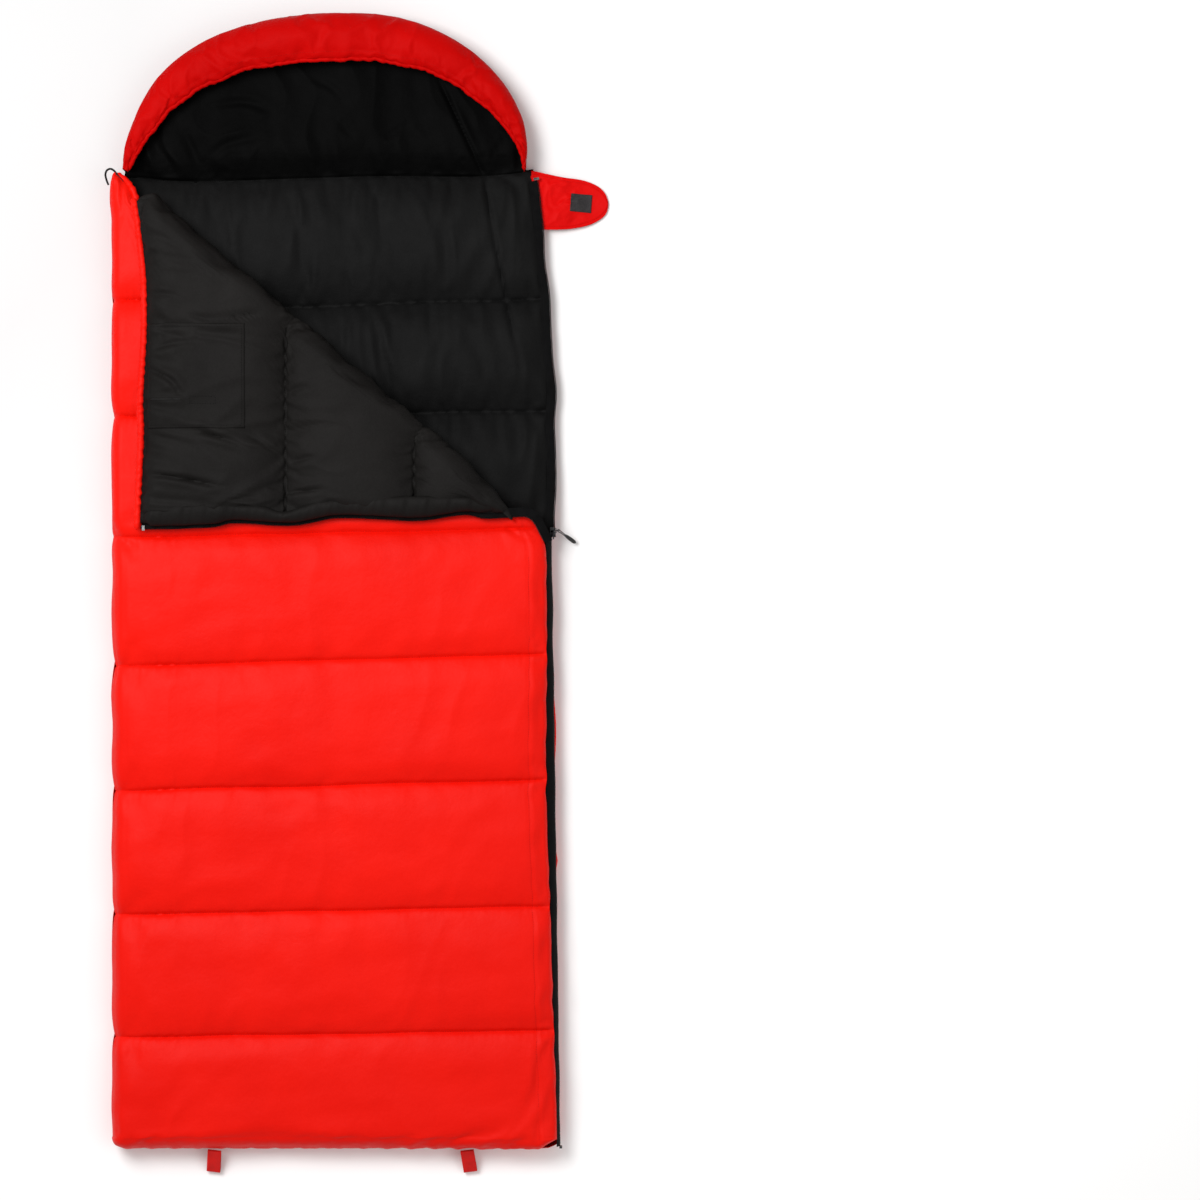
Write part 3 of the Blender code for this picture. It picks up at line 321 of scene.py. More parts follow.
def wrinkle(points, held, growth, pressure, cap, skip=(2, 3)):
    """Lets Blender's Cloth swell and wrinkle a quilt's cloth between its seams.

    Only every skip-th row and column go into the simulation, held is the share of pinning [row, column],
    growth is how much larger the cloth is than its seams, and no point moves further than cap."""
    rows = np.unique(np.append(np.arange(0, points.shape[0], skip[0]), points.shape[0] - 1))
    columns = np.unique(np.append(np.arange(0, points.shape[1], skip[1]), points.shape[1] - 1))
    coarse = points[np.ix_(rows, columns)]
    mesh = make_mesh("cloth", coarse, quads_of(len(rows), len(columns)))
    obj = bpy.data.objects.new("cloth", mesh)
    scene = bpy.context.scene
    scene.collection.objects.link(obj)
    group = obj.vertex_groups.new(name="held")
    shares = held[np.ix_(rows, columns)].ravel()
    for share in np.unique(shares[shares > 0]):
        group.add(np.flatnonzero(shares == share).tolist(), float(share), "REPLACE")
    cloth = obj.modifiers.new("cloth", "CLOTH")
    settings = cloth.settings
    settings.quality = 5
    settings.mass = 0.2
    settings.tension_stiffness = settings.compression_stiffness = 12
    settings.shear_stiffness = 4
    settings.bending_stiffness = 0.12
    settings.air_damping = 2
    settings.vertex_group_mass = "held"
    settings.pin_stiffness = 4
    settings.shrink_min = -growth
    settings.shrink_max = -growth
    settings.use_pressure = True
    settings.uniform_pressure_force = pressure
    settings.effector_weights.gravity = 0
    cloth.collision_settings.use_collision = False
    cloth.point_cache.frame_start = 1
    cloth.point_cache.frame_end = CLOTH_FRAMES
    for step in range(1, CLOTH_FRAMES + 1):
        scene.frame_set(step)
    settled = np.empty(coarse.size, np.float32)
    obj.evaluated_get(bpy.context.evaluated_depsgraph_get()).data.vertices.foreach_get("co", settled)
    moved = settled.reshape(coarse.shape) - coarse
    bpy.data.objects.remove(obj)
    scene.frame_set(1)
    far = np.linalg.norm(moved, axis=-1, keepdims=True)
    moved = moved * cap * np.tanh(far / cap) / np.maximum(far, 1e-9)
    if not np.isfinite(moved).all():
        return points
    return points + stretched(moved, rows, columns, np.arange(points.shape[0]), np.arange(points.shape[1]))


# ---------------------------------------------------------------- materials
THREAD_PITCH = 0.0007
PALE_FROM, PALE_NEAR, PALE_FAR = (-1.3, 1.1, 0.0), 0.9, 2.9  # the floor is paler away from the key light


def grey(value):
    """A colour without a tint."""
    return (value, value, value)


def new_material(name):
    """A material with its node tree, its links and its shader."""
    material = bpy.data.materials.new(name)
    material.use_nodes = True
    nodes = material.node_tree.nodes
    return nodes, material.node_tree.links, nodes["Principled BSDF"], material


def noise(nodes, links, place, scale, detail=3.0, rough=0.55):
    """Uneven tone, 0 to 1, with about that many spots to a metre."""
    node = nodes.new("ShaderNodeTexNoise")
    node.inputs["Scale"].default_value = scale
    node.inputs["Detail"].default_value = detail
    node.inputs["Roughness"].default_value = rough
    links.new(place, node.inputs["Vector"])
    return node.outputs["Fac"]


def threads(nodes, links, place, pitch, direction):
    """Waves one thread apart, as bands across X, Y or Z."""
    node = nodes.new("ShaderNodeTexWave")
    node.wave_type = "BANDS"
    node.bands_direction = direction
    node.inputs["Scale"].default_value = 2 * np.pi / (20 * pitch)
    node.inputs["Distortion"].default_value = 0.6
    node.inputs["Detail"].default_value = 1.0
    links.new(place, node.inputs["Vector"])
    return node.outputs["Fac"]


def arithmetic(nodes, links, kind, a, b):
    """A sum, product or maximum of two sockets or numbers."""
    node = nodes.new("ShaderNodeMath")
    node.operation = kind
    for socket, value in zip(node.inputs, (a, b)):
        if isinstance(value, (int, float)):
            socket.default_value = value
        else:
            links.new(value, socket)
    return node.outputs[0]


def two_tone(nodes, links, share, dark, light, low=0.3, high=0.7):
    """Goes from the dark colour to the light one while the share goes from low to high."""
    ramp = nodes.new("ShaderNodeValToRGB")
    ramp.color_ramp.elements[0].position = low
    ramp.color_ramp.elements[0].color = (*dark, 1)
    ramp.color_ramp.elements[1].position = high
    ramp.color_ramp.elements[1].color = (*light, 1)
    links.new(share, ramp.inputs["Fac"])
    return ramp.outputs["Color"]


def between(nodes, links, share, low, high):
    """The value at that share of the way from low to high."""
    node = nodes.new("ShaderNodeMapRange")
    node.inputs["To Min"].default_value = low
    node.inputs["To Max"].default_value = high
    links.new(share, node.inputs["Value"])
    return node.outputs["Result"]


def bumped(nodes, links, shader, layers):
    """Stacks bumps: each layer is (height, strength, distance)."""
    normal = None
    for height, strength, distance in layers:
        node = nodes.new("ShaderNodeBump")
        node.inputs["Strength"].default_value = strength
        node.inputs["Distance"].default_value = distance
        links.new(height, node.inputs["Height"])
        if normal is not None:
            links.new(normal, node.inputs["Normal"])
        normal = node.outputs["Normal"]
    links.new(normal, shader.inputs["Normal"])


def woven(name, dark, light, rough=(0.5, 0.62), specular=0.25, crease=0.35):
    """Plain-weave cloth: two sets of threads, faint creases, uneven tone and gloss."""
    nodes, links, shader, material = new_material(name)
    place = nodes.new("ShaderNodeTexCoord").outputs["Object"]
    tone = noise(nodes, links, place, 5.0, 4.0)
    fibre = noise(nodes, links, place, 260.0, 2.0)
    folds = noise(nodes, links, place, 34.0, 5.0, 0.6)
    warp = threads(nodes, links, place, THREAD_PITCH, "X")
    weft = threads(nodes, links, place, THREAD_PITCH, "Y")
    weave = arithmetic(nodes, links, "MAXIMUM", warp, weft)
    soft = arithmetic(nodes, links, "MULTIPLY", tone, 0.75)
    fine = arithmetic(nodes, links, "MULTIPLY", fibre, 0.25)
    total = arithmetic(nodes, links, "ADD", soft, fine)
    links.new(two_tone(nodes, links, total, dark, light), shader.inputs["Base Color"])
    links.new(between(nodes, links, folds, *rough), shader.inputs["Roughness"])
    shader.inputs["Specular IOR Level"].default_value = specular
    bumped(nodes, links, shader, [(folds, crease, 0.004), (weave, 0.3, 0.00015), (fibre, 0.15, 0.0003)])
    return material


def ribbed(name, dark, light, pitch, direction, rough=(0.6, 0.75), specular=0.2, depth=0.0003):
    """Tape or webbing: ribs in one direction with fine threads across them."""
    nodes, links, shader, material = new_material(name)
    place = nodes.new("ShaderNodeTexCoord").outputs["Object"]
    ribs = threads(nodes, links, place, pitch, direction)
    fine = threads(nodes, links, place, pitch / 3, "X" if direction != "X" else "Y")
    tone = noise(nodes, links, place, 60.0, 3.0)
    links.new(two_tone(nodes, links, tone, dark, light), shader.inputs["Base Color"])
    links.new(between(nodes, links, tone, *rough), shader.inputs["Roughness"])
    shader.inputs["Specular IOR Level"].default_value = specular
    bumped(nodes, links, shader, [(ribs, 0.6, depth), (fine, 0.25, depth / 2)])
    return material


def moulded(name, dark, light, rough, metallic=0.0, specular=0.5):
    """Moulded or enamelled surface with a fine uneven grain."""
    nodes, links, shader, material = new_material(name)
    place = nodes.new("ShaderNodeTexCoord").outputs["Object"]
    wear = noise(nodes, links, place, 240.0, 4.0)
    fine = noise(nodes, links, place, 900.0, 2.0)
    links.new(two_tone(nodes, links, wear, dark, light), shader.inputs["Base Color"])
    links.new(between(nodes, links, fine, *rough), shader.inputs["Roughness"])
    shader.inputs["Metallic"].default_value = metallic
    shader.inputs["Specular IOR Level"].default_value = specular
    bumped(nodes, links, shader, [(fine, 0.2, 0.0001)])
    return material


def tufted(name, dark, light):
    """Hook-and-loop tape: stiff specks standing in a dark ground."""
    nodes, links, shader, material = new_material(name)
    place = nodes.new("ShaderNodeTexCoord").outputs["Object"]
    specks = nodes.new("ShaderNodeTexVoronoi")
    specks.inputs["Scale"].default_value = 620
    links.new(place, specks.inputs["Vector"])
    dots = specks.outputs["Distance"]
    links.new(two_tone(nodes, links, dots, light, dark, 0.1, 0.6), shader.inputs["Base Color"])
    links.new(between(nodes, links, noise(nodes, links, place, 90.0), 0.5, 0.9), shader.inputs["Roughness"])
    bumped(nodes, links, shader, [(dots, 0.8, 0.0006)])
    return material


def paper_floor():
    """Pale floor: a little greyer under the key light, so that the soft shadows show on both sides."""
    nodes, links, shader, material = new_material("pale_floor")
    place = nodes.new("ShaderNodeTexCoord").outputs["Object"]
    far = nodes.new("ShaderNodeVectorMath")
    far.operation = "DISTANCE"
    far.inputs[1].default_value = PALE_FROM
    links.new(place, far.inputs[0])
    reach = nodes.new("ShaderNodeMapRange")
    reach.inputs["From Min"].default_value = PALE_NEAR
    reach.inputs["From Max"].default_value = PALE_FAR
    links.new(far.outputs["Value"], reach.inputs["Value"])
    tone = two_tone(nodes, links, reach.outputs["Result"], (0.62, 0.62, 0.622), (0.97, 0.97, 0.97), 0.0, 1.0)
    links.new(tone, shader.inputs["Base Color"])
    grain = noise(nodes, links, place, 40.0)
    links.new(between(nodes, links, grain, 0.85, 0.95), shader.inputs["Roughness"])
    shader.inputs["Specular IOR Level"].default_value = 0.0
    return material


# ---------------------------------------------------------------- outlines
def zip_line(y):
    """Where the zip runs: drawn in to the neck above the elbow, flared below the slider."""
    taper = SHOULDER_TAPER * np.clip((y - ELBOW_Y) / (NECK_Y - ELBOW_Y), 0, 1) ** 1.3
    return HALF_WIDTH - taper + FOOT_FLARE * np.clip((SLIDER_Y - y) / (SLIDER_Y - FOOT_Y), 0, 1)


def base_edge(y):
    """Height of the bottom quilt's upper edge along the zip."""
    return ZIP_Z - 0.008 - 0.010 * smooth((y - SLIDER_Y) / 0.150)


def fold_x(y):
    """The diagonal fold's x at a place along the bag."""
    return FOLD_START[0] + FOLD_ALONG[0] / FOLD_ALONG[1] * (y - FOLD_START[1])


def fold_y(x):
    """The diagonal fold's y at a place across the bag."""
    return FOLD_START[1] + FOLD_ALONG[1] / FOLD_ALONG[0] * (x - FOLD_START[0])


def seam_y(x):
    """The neck seam, which wanders a little."""
    return along_curve(NECK_SEAM, x)


def inner_left(y):
    """Where the side fold starts; the fold leans out towards the neck."""
    return INNER_LEFT - 0.0140 * smooth((y - 0.700) / 0.085)


def side_turn(y):
    """How far the side fold stands out; it narrows at the neck, and the stitched lines nick it."""
    return TURN * (1 - 0.46 * smooth((y - 0.715) / 0.070))


def creases(x, y, lines, wide=0.0038):
    """Creases along listed lines (depth, place, place, ...): a groove, and a soft ridge beside it."""
    total = np.zeros_like(x)
    for depth, *stops in lines:
        line = evenly(curve_through(stops, 6), 14)
        reach = np.full_like(x, 9.0)
        along = np.zeros_like(x)
        for k, (a, b) in enumerate(zip(line[:-1], line[1:])):
            run = b - a
            t = np.clip(((x - a[0]) * run[0] + (y - a[1]) * run[1]) / (run @ run), 0, 1)
            d = np.hypot(x - a[0] - t * run[0], y - a[1] - t * run[1])
            along = np.where(d < reach, (k + t) / (len(line) - 1), along)
            reach = np.minimum(reach, d)
        fade = np.sqrt(np.clip(np.sin(np.pi * np.clip(along, 0.03, 0.97)), 0, 1))
        ridge = 0.55 * np.exp(-(((reach - 0.011) / 0.008) ** 2))
        total += depth * fade * (ridge - np.exp(-((reach / wide) ** 2)))
    return total


def ridges(x, y, wave, seed):
    """Soft uneven folds: lumps read at places that other lumps have shifted, as ridges between -1 and 1."""
    px = x + 0.4 * wave * cloud(x, y, 1.7 * wave, seed + 1)
    py = y + 0.4 * wave * cloud(x, y, 1.4 * wave, seed + 2)
    return 1 - 2 * np.abs(cloud(px, py, wave, seed)) ** 0.8


TOP_CORNER = ((0.0611, 0.4166), (0.0887, 0.4086), (0.1060, 0.3985), (0.1224, 0.3870), (0.1500, 0.3138))
HEM_CURVE = (
    (0.7300, -0.3735), (0.7400, -0.3775), (0.7616, -0.3866), (0.7810, -0.4040), (0.7906, -0.4215),
    (0.7925, -0.4255),
)  # fmt: skip
HEM_START = 0.732


def top_right(y):
    """The top quilt's right edge: the zip, the corner below the tape, the diagonal fold and the neck hem."""
    corner_y, corner_x = np.array(TOP_CORNER).T
    along_zip = zip_line(y) - top_edge_inset(y)
    edge = np.where(y < corner_y[0], along_zip, np.interp(y, corner_y, corner_x))
    edge = np.where(y > corner_y[-1], fold_x(y), edge)
    return np.where(y > HEM_START, np.maximum(hem_curve(y), inner_left(y) + 0.004), edge)


def top_edge_inset(y):
    """How far the top quilt's edge lies in from the zip: most at the thigh, least at the foot."""
    bulge = 0.0065 * np.exp(-(((y + 0.40) / 0.22) ** 2)) - 0.0045 * smooth((-0.75 - y) / 0.3)
    return 0.0115 + bulge + 0.0012 * ripple(y, 0.06, 3) * smooth((y + 1.05) / 0.1)


def hem_curve(y):
    """The neck edge of the part of the top quilt that stays down."""
    return along_curve(HEM_CURVE, y)


def line_set(lines, first, last, x):
    """The stitched lines at places across the bag, with slight waves: [line, place]."""
    rows = [np.full_like(x, first)]
    for k, (middle, slope) in enumerate(lines):
        rows.append(middle + slope * (x + 0.06) + 0.0012 * ripple(x, 0.25, 40 + k))
    rows.append(last if isinstance(last, np.ndarray) else np.full_like(x, last))
    return np.array(rows)


# ---------------------------------------------------------------- quilts
# creases that a bag keeps from its packing: (depth, place, place, ...)
FLAP_CREASES = (
    (0.0055, (-0.2614, 0.5094), (-0.2190, 0.5014), (-0.1554, 0.5123), (-0.1130, 0.5280)),
    (0.0040, (-0.3460, 0.4407), (-0.3093, 0.4543), (-0.2513, 0.4620)),
    (0.0048, (-0.3541, 0.4117), (-0.3035, 0.3876), (-0.2822, 0.3584)),
    (0.0060, (-0.2561, 0.2900), (-0.2300, 0.2842), (-0.1662, 0.2629)),
    (0.0060, (-0.3566, 0.2072), (-0.2826, 0.1993), (-0.2088, 0.1836)),
    (0.0038, (-0.1554, 0.2842), (-0.0918, 0.2416)),
    (0.0035, (-0.0758, 0.1728), (-0.0174, 0.1782)),
    (0.0042, (-0.3566, 0.6186), (-0.3197, 0.6398)),
    (0.0036, (-0.3520, 0.5550), (-0.2900, 0.5490)),
    (0.0030, (-0.0750, 0.2300), (-0.0250, 0.2420)),
    (0.0030, (-0.0780, 0.3650), (-0.0400, 0.3760)),
)
TOP_CREASES = (
    (0.0022, (0.3300, 0.1150), (0.3600, 0.0900), (0.4000, 0.0780)),
    (0.0022, (0.3700, 0.1180), (0.3800, 0.0960), (0.3950, 0.0880)),
    (0.0016, (0.3300, 0.0700), (0.3650, 0.0560), (0.4050, 0.0600)),
    (0.0014, (-0.2900, 0.0050), (-0.3060, -0.0120)),
    (0.0014, (-0.3000, -0.4300), (-0.2960, -0.3650)),
)
HOOD_CREASES = (
    (0.0032, (-0.2850, 0.8700), (-0.2700, 0.8350), (-0.2600, 0.8100)),
    (0.0030, (-0.2300, 0.9250), (-0.1700, 0.9320), (-0.1200, 0.9150)),
    (0.0028, (-0.2450, 0.8150), (-0.2100, 0.8480), (-0.1450, 0.8650)),
    (0.0022, (-0.3300, 0.8350), (-0.3150, 0.8150)),
    (0.0026, (-0.0400, 0.9780), (0.0000, 0.9600), (0.0250, 0.9300)),
    (0.0020, (0.0100, 0.9000), (0.0400, 0.8650)),
    (0.0020, (0.1500, 0.8900), (0.1000, 0.8600)),
)
SIDE_STEPS = 9
ROWS_PER_CHANNEL = 26
UNDER_ROWS = 16  # rows per channel of the underside, which hardly shows
EDGE_SEAM = 0.034  # from the top quilt's zip edge to the stitched line along it
DART_X = 0.2936  # where the dart in the linings meets the neck


def side_angles():
    """Sines of the angles round the side fold, from its outermost line inwards."""
    return np.sin(np.linspace(np.pi / 2, 0, SIDE_STEPS, endpoint=False))


def top_height(x, y, right, near, full):
    """Height of the top quilt: valley + (crest - valley) x fullness, drawn down to the zip at the right.

    near is the distance to the nearest stitched line, which gathers the cloth in small puckers."""
    stitched = smooth((x + 0.413) / 0.010)
    h = TOP_VALLEY + (TOP_CREST - TOP_VALLEY) * (1 - (1 - full) * mix(0.45, 1.0, stitched))
    h -= 0.0030 * np.exp(-((near / 0.0036) ** 2)) * stitched
    loft = smooth(near / 0.04)
    h += 0.0022 * cloud(x, y, 0.28, 5) * loft + 0.0009 * cloud(x, y * 1.6, 0.11, 6) * loft
    h += 0.0012 * ridges(x, y, 0.16, 7) * loft
    busy = 0.40 + 0.9 * smooth((-0.10 - x) / 0.2) + 0.4 * smooth((x - 0.30) / 0.1)
    h += 0.0016 * busy * ripple(x + 0.12 * near, 0.013, 8) * np.exp(-near / 0.009) * smooth(near / 0.003)
    h += 0.0014 * ripple(x - 0.3 * near, 0.055, 9) * np.exp(-near / 0.035) * smooth(near / 0.01)
    neck = smooth((y - 0.60) / 0.10) * smooth((right - x) / 0.012)
    h += 0.0030 * neck * ripple((x - inner_left(y)) + 0.25 * (0.79 - y), 0.020, 15)
    from_edge = right - x
    inside = np.clip(from_edge / 0.036, 0, 1)
    low = y < TOP_CORNER[-1][0]
    at_hem = np.where(y > 0.73, np.sqrt(np.clip(inside * 2.4, 0, 1)), 1)
    falls = np.where(low, np.sqrt(1 - (1 - inside) ** 2.4), at_hem)
    pinch = 0.0009 * ripple(y, 0.013, 12) * np.exp(-((from_edge - 0.012) ** 2) / 0.0001)
    roll = 0.0022 * smooth((EDGE_SEAM - from_edge) / 0.004) * inside
    sewn = 0.0016 * np.exp(-(((from_edge - EDGE_SEAM) / 0.0026) ** 2))
    h += np.where(low, pinch + roll - sewn, 0)
    h += creases(x, y, TOP_CREASES)
    return mix(np.where(y > 0.73, 0.0540, 0.0625), h, falls)


def wrap_sides(points, full, corner_wide, corner_cut):
    """Adds the side fold and the foot to a quilt's rows, as quarter rounds that start at the zip's height.

    The stitched lines nick the fold, it is tucked in at the neck, and the foot is cut at its zip corner."""
    side = side_angles()
    start = points[:, :1]
    y = start[..., 1]
    nick = 1 - 0.20 * (1 - full) ** 2 + 0.05 * ripple(y, 0.09, 14)
    out, _, share = round_over(side[None, :], np.zeros_like(side)[None, :])
    tucked = 0.012 * smooth((y - 0.755) / 0.035) * out**2
    fold_x_places = start[..., 0] - out * nick * side_turn(y)
    fold = np.stack([fold_x_places, y - tucked, ZIP_Z + (start[..., 2] - ZIP_Z) * share], -1)
    body = np.concatenate([fold, points], axis=1)
    a = np.concatenate([side, np.zeros(points.shape[1])])[None, :] * np.ones((SIDE_STEPS, 1))
    b = side[:, None] * np.ones_like(a)
    out_x, out_y, share = round_over(a, b)
    xs = np.where(a > 0, INNER_LEFT - TURN * out_x, body[0][None, :, 0])
    corner = smooth((xs - (zip_line(FOOT_Y) - corner_wide)) / 0.040)
    ys = INNER_FOOT - TURN * out_y * (1 - corner_cut * corner) + 0.0012 * ripple(xs, 0.03, 21) * b
    edge_z = np.where(a > 0, body[0, SIDE_STEPS, 2], body[0][None, :, 2])
    foot = np.stack([xs, ys, ZIP_Z + (edge_z - ZIP_Z) * share], -1)
    return np.concatenate([foot, body])


def top_panel():
    """The red top quilt with the upper half of the side fold and of the foot."""
    across = np.linspace(0, 1, 205)
    x_flat = mix(INNER_LEFT, zip_line(-0.5) - 0.012, across)
    lines = line_set(TOP_LINES, INNER_FOOT, 0.7915, x_flat)
    places = across_lines(len(lines) - 1, ROWS_PER_CHANNEL)
    y = read_lines(lines, places)
    foot = places[:, None] < 0.5
    full = np.where(foot, 1.0, fullness(places, 4.0)[:, None] * np.ones_like(y))
    right = top_right(y)
    x = mix(inner_left(y), right, across[None, :])
    widths = np.diff(lines.mean(axis=1))
    near = nearest_line(places, widths)[:, None]
    near = np.where(foot, (places * widths[0])[:, None] + 0.2, near)
    h = top_height(x, y, right, near, full)
    points = np.stack([x, y, h], -1)

    wrap = np.stack([right[:, -1:], y[:, -1:], np.minimum(0.0560, h[:, -1:] - 0.004)], -1)
    under = wrap + np.array([-0.0030, 0, -0.0035])
    grid = wrap_sides(np.concatenate([points, wrap, under], axis=1), full[:, :1], 0.046, 0.80)

    held = np.zeros(grid.shape[:2])
    seam_rows = SIDE_STEPS + np.arange(1, len(lines)) * ROWS_PER_CHANNEL
    held[seam_rows] = 1.0
    held[:2] = 1.0
    held[SIDE_STEPS + 5 * ROWS_PER_CHANNEL + 6 :, :] = 1.0
    held[:, -5:] = 1.0
    held[:, :3] = 0.6
    grid = wrinkle(grid, held, 0.006, 3.0, 0.006)
    panel = grid_piece("red_top_quilt", grid, RED_CLOTH)
    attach(panel, "bag")
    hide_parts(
        "top_shell", "top_fill", "side_fold_shell", "side_fold_fill", "foot_shell", "foot_fill"
    )
    start = SIDE_STEPS + 2
    seams = [grid[row, start:-8] for row in seam_rows[:4]]
    seams += [grid[seam_rows[4], start:-24]]
    seams += [grid[row, start : start + 40] for row in seam_rows[5:7]]
    stitches("red_quilting_stitches", seams, RED_THREAD, "bag")
    edge = grid[SIDE_STEPS : SIDE_STEPS + 5 * ROWS_PER_CHANNEL - 8]
    seam_x = edge[:, -3, 0] - EDGE_SEAM
    nearest = np.argmin(np.abs(edge[:, :, 0] - seam_x[:, None]), axis=1)
    line = edge[np.arange(len(edge)), nearest]
    line[:, 0] = seam_x
    stitches("red_edge_stitches", [line], RED_THREAD, "bag")


def bottom_panel():
    """The red underside on the floor, with the lower half of the side fold and of the foot."""
    across = np.linspace(0, 1, 90)
    x_flat = mix(INNER_LEFT, HALF_WIDTH, across)
    lines = line_set(BASE_LINES, INNER_FOOT, NECK_Y - 0.0015, x_flat)
    places = across_lines(len(lines) - 1, UNDER_ROWS)
    y = read_lines(lines, places)
    full = np.where(places < 0.5, 1.0, fullness(places))[:, None] * np.ones_like(y)
    peeps = 0.0065 * np.exp(-(((y + 0.285) / 0.075) ** 2)) + 0.0060 * np.exp(-(((y + 0.54) / 0.022) ** 2))
    right = zip_line(y) - 0.0040 + peeps
    x = mix(inner_left(y), right, across[None, :])
    inside = np.clip((right - x) / 0.020, 0, 1)
    h = mix(base_edge(y) - 0.006, mix(0.0060, 0.0006, full), np.sqrt(1 - (1 - inside) ** 2))
    points = np.stack([x, y, h], -1)
    tip = points[:, -1:] + np.array([-0.0025, 0, 0.0055])
    grid = wrap_sides(np.concatenate([points, tip], axis=1), full[:, :1], 0.030, 0.60)[:, ::-1]
    panel = grid_piece("red_underside", grid, RED_CLOTH)
    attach(panel, "bag")
    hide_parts("base_shell", "base_fill")
    rows = SIDE_STEPS + np.arange(1, len(lines) - 1) * UNDER_ROWS
    seams = [grid[row, 4:-SIDE_STEPS] for row in rows]
    stitches("underside_stitches", seams, RED_THREAD, "bag")


def base_lining():
    """The black inside of the bottom quilt, up to the neck seam; it turns up a little at the side fold."""
    across = np.linspace(0, 1, 200)
    x_flat = mix(INNER_LEFT, HALF_WIDTH - 0.02, across)
    lines = line_set(BASE_LINES, INNER_FOOT + 0.004, seam_y(x_flat) - 0.0005, x_flat)
    lines[-1, 0] = lines[-1, 1]
    places = across_lines(len(lines) - 1, ROWS_PER_CHANNEL)
    y = read_lines(lines, places)
    full = fullness(places, 3.0)[:, None] * np.ones_like(y)
    right = zip_line(y) - 0.0020
    left = inner_left(y)
    x = mix(left, right, across[None, :])
    widths = np.diff(lines.mean(axis=1))
    near = nearest_line(places, widths)[:, None]
    loft = smooth(near / 0.05)
    h = mix(BASE_VALLEY, BASE_CREST, full)
    h += 0.0022 * ridges(x * 1.5, y * 0.8, 0.16, 55) * loft
    h += 0.0016 * cloud(x, y, 0.22, 51) * loft
    h += 0.0012 * ripple(x + 0.2 * near, 0.016, 52) * np.exp(-near / 0.012) * smooth(near / 0.006)
    h += 0.0016 * ripple(x - 0.3 * near, 0.06, 53) * np.exp(-near / 0.05) * smooth(near / 0.01)
    gather = smooth((y - 0.68) / 0.10)
    h += 0.0022 * gather * ripple(x + 0.15 * (NECK_Y - y), 0.045, 54) * smooth((NECK_Y - y) / 0.02)
    dart = x - (DART_X + (NECK_Y - y) * 0.155 + 0.10 * np.clip(NECK_Y - y, 0, 1) ** 2)
    h -= 0.0060 * np.exp(-((dart / 0.0045) ** 2)) * smooth((NECK_Y - y) / 0.03) * smooth((y - 0.40) / 0.15)
    h -= 0.0026 * np.exp(-((near / 0.0042) ** 2))
    h = np.maximum(h, 0.0080)
    h -= 0.0030 * smooth((dart + 0.002) / 0.02) * smooth((y - 0.52) / 0.2) * smooth((NECK_Y - y) / 0.03)
    inside = np.clip((right - x) / 0.036, 0, 1)
    h = mix(base_edge(y), h, np.sqrt(1 - (1 - inside) ** 2))
    lift = np.clip((left + 0.012 - x) / 0.012, 0, 1)
    h = mix(h, 0.0365, lift**2)
    grid = np.stack([x, y, h], -1)
    held = np.zeros(grid.shape[:2])
    held[np.arange(0, len(lines)) * ROWS_PER_CHANNEL] = 1.0
    held[: 4 * ROWS_PER_CHANNEL] = 1.0
    held[:, :3] = 1.0
    held[:, -4:] = 1.0
    grid = wrinkle(grid, held, 0.014, 3.0, 0.007)
    lining = grid_piece("base_lining_cloth", grid, BLACK_LINING)
    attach(lining, "bag")
    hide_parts("base_lining", "side_fold_lining", "foot_lining")
    rows = np.arange(5, len(lines)) * ROWS_PER_CHANNEL
    rows[-1] -= 1
    stitches("base_lining_stitches", [grid[row, 6:-6] for row in rows], BLACK_THREAD, "bag")


def top_lining():
    """The black inside of the top quilt, facing down, from the foot to the diagonal fold."""
    across = np.linspace(0, 1, 110)
    x_flat = mix(INNER_LEFT, HALF_WIDTH - 0.02, across)
    lines = line_set(TOP_LINES, INNER_FOOT + 0.004, 0.7560, x_flat)
    places = across_lines(len(lines) - 1, 12)
    y = read_lines(lines, places)
    full = fullness(places, 2.6)[:, None] * np.ones_like(y)
    right = top_right(y) - 0.003
    left = inner_left(y)
    x = mix(left, right, across[None, :])
    h = mix(UNDER_VALLEY, UNDER_CREST, full)
    inside = np.clip((right - x) / 0.030, 0, 1)
    falls = np.where((y < FOLD_END[1]) | (y > 0.73), np.sqrt(1 - (1 - inside) ** 2), 1.0)
    h = mix(0.0475, h, falls)
    lift = np.clip((left + 0.012 - x) / 0.012, 0, 1)
    h = mix(h, 0.0385, lift**2)
    grid = np.stack([x, y, h], -1)[:, ::-1]
    lining = grid_piece("top_lining_cloth", grid, BLACK_LINING)
    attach(lining, "bag")
    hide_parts("top_lining", "closed_draft_tube")


# ---------------------------------------------------------------- the folded corner
FLAP_COLUMNS = (-0.3550, *FLAP_LINES, 0.3500)
FLAP_PLACES = across_lines(3, 48)
FLAP_X = read_lines(np.array(FLAP_COLUMNS)[:, None], FLAP_PLACES)[:, 0]
FLAP_ROWS = 150
FLAP_EDGE, FLAP_LOWEST = 0.0920, 0.0866  # heights of the lining at its sewn edges, and at its lowest
DRAFT_TUBE_EDGE = (
    (-0.360, 0.1350), (-0.278, 0.1490), (-0.139, 0.1450), (-0.085, 0.1330), (0.000, 0.1560), (0.162, 0.1620),
    (0.330, 0.1620),
)  # fmt: skip


def flap_edge_y(x):
    """The folded corner's zip edge, where its quilting ends and the tape starts."""
    return along_curve(FLAP_TAPE_EDGE, x) + 0.0135


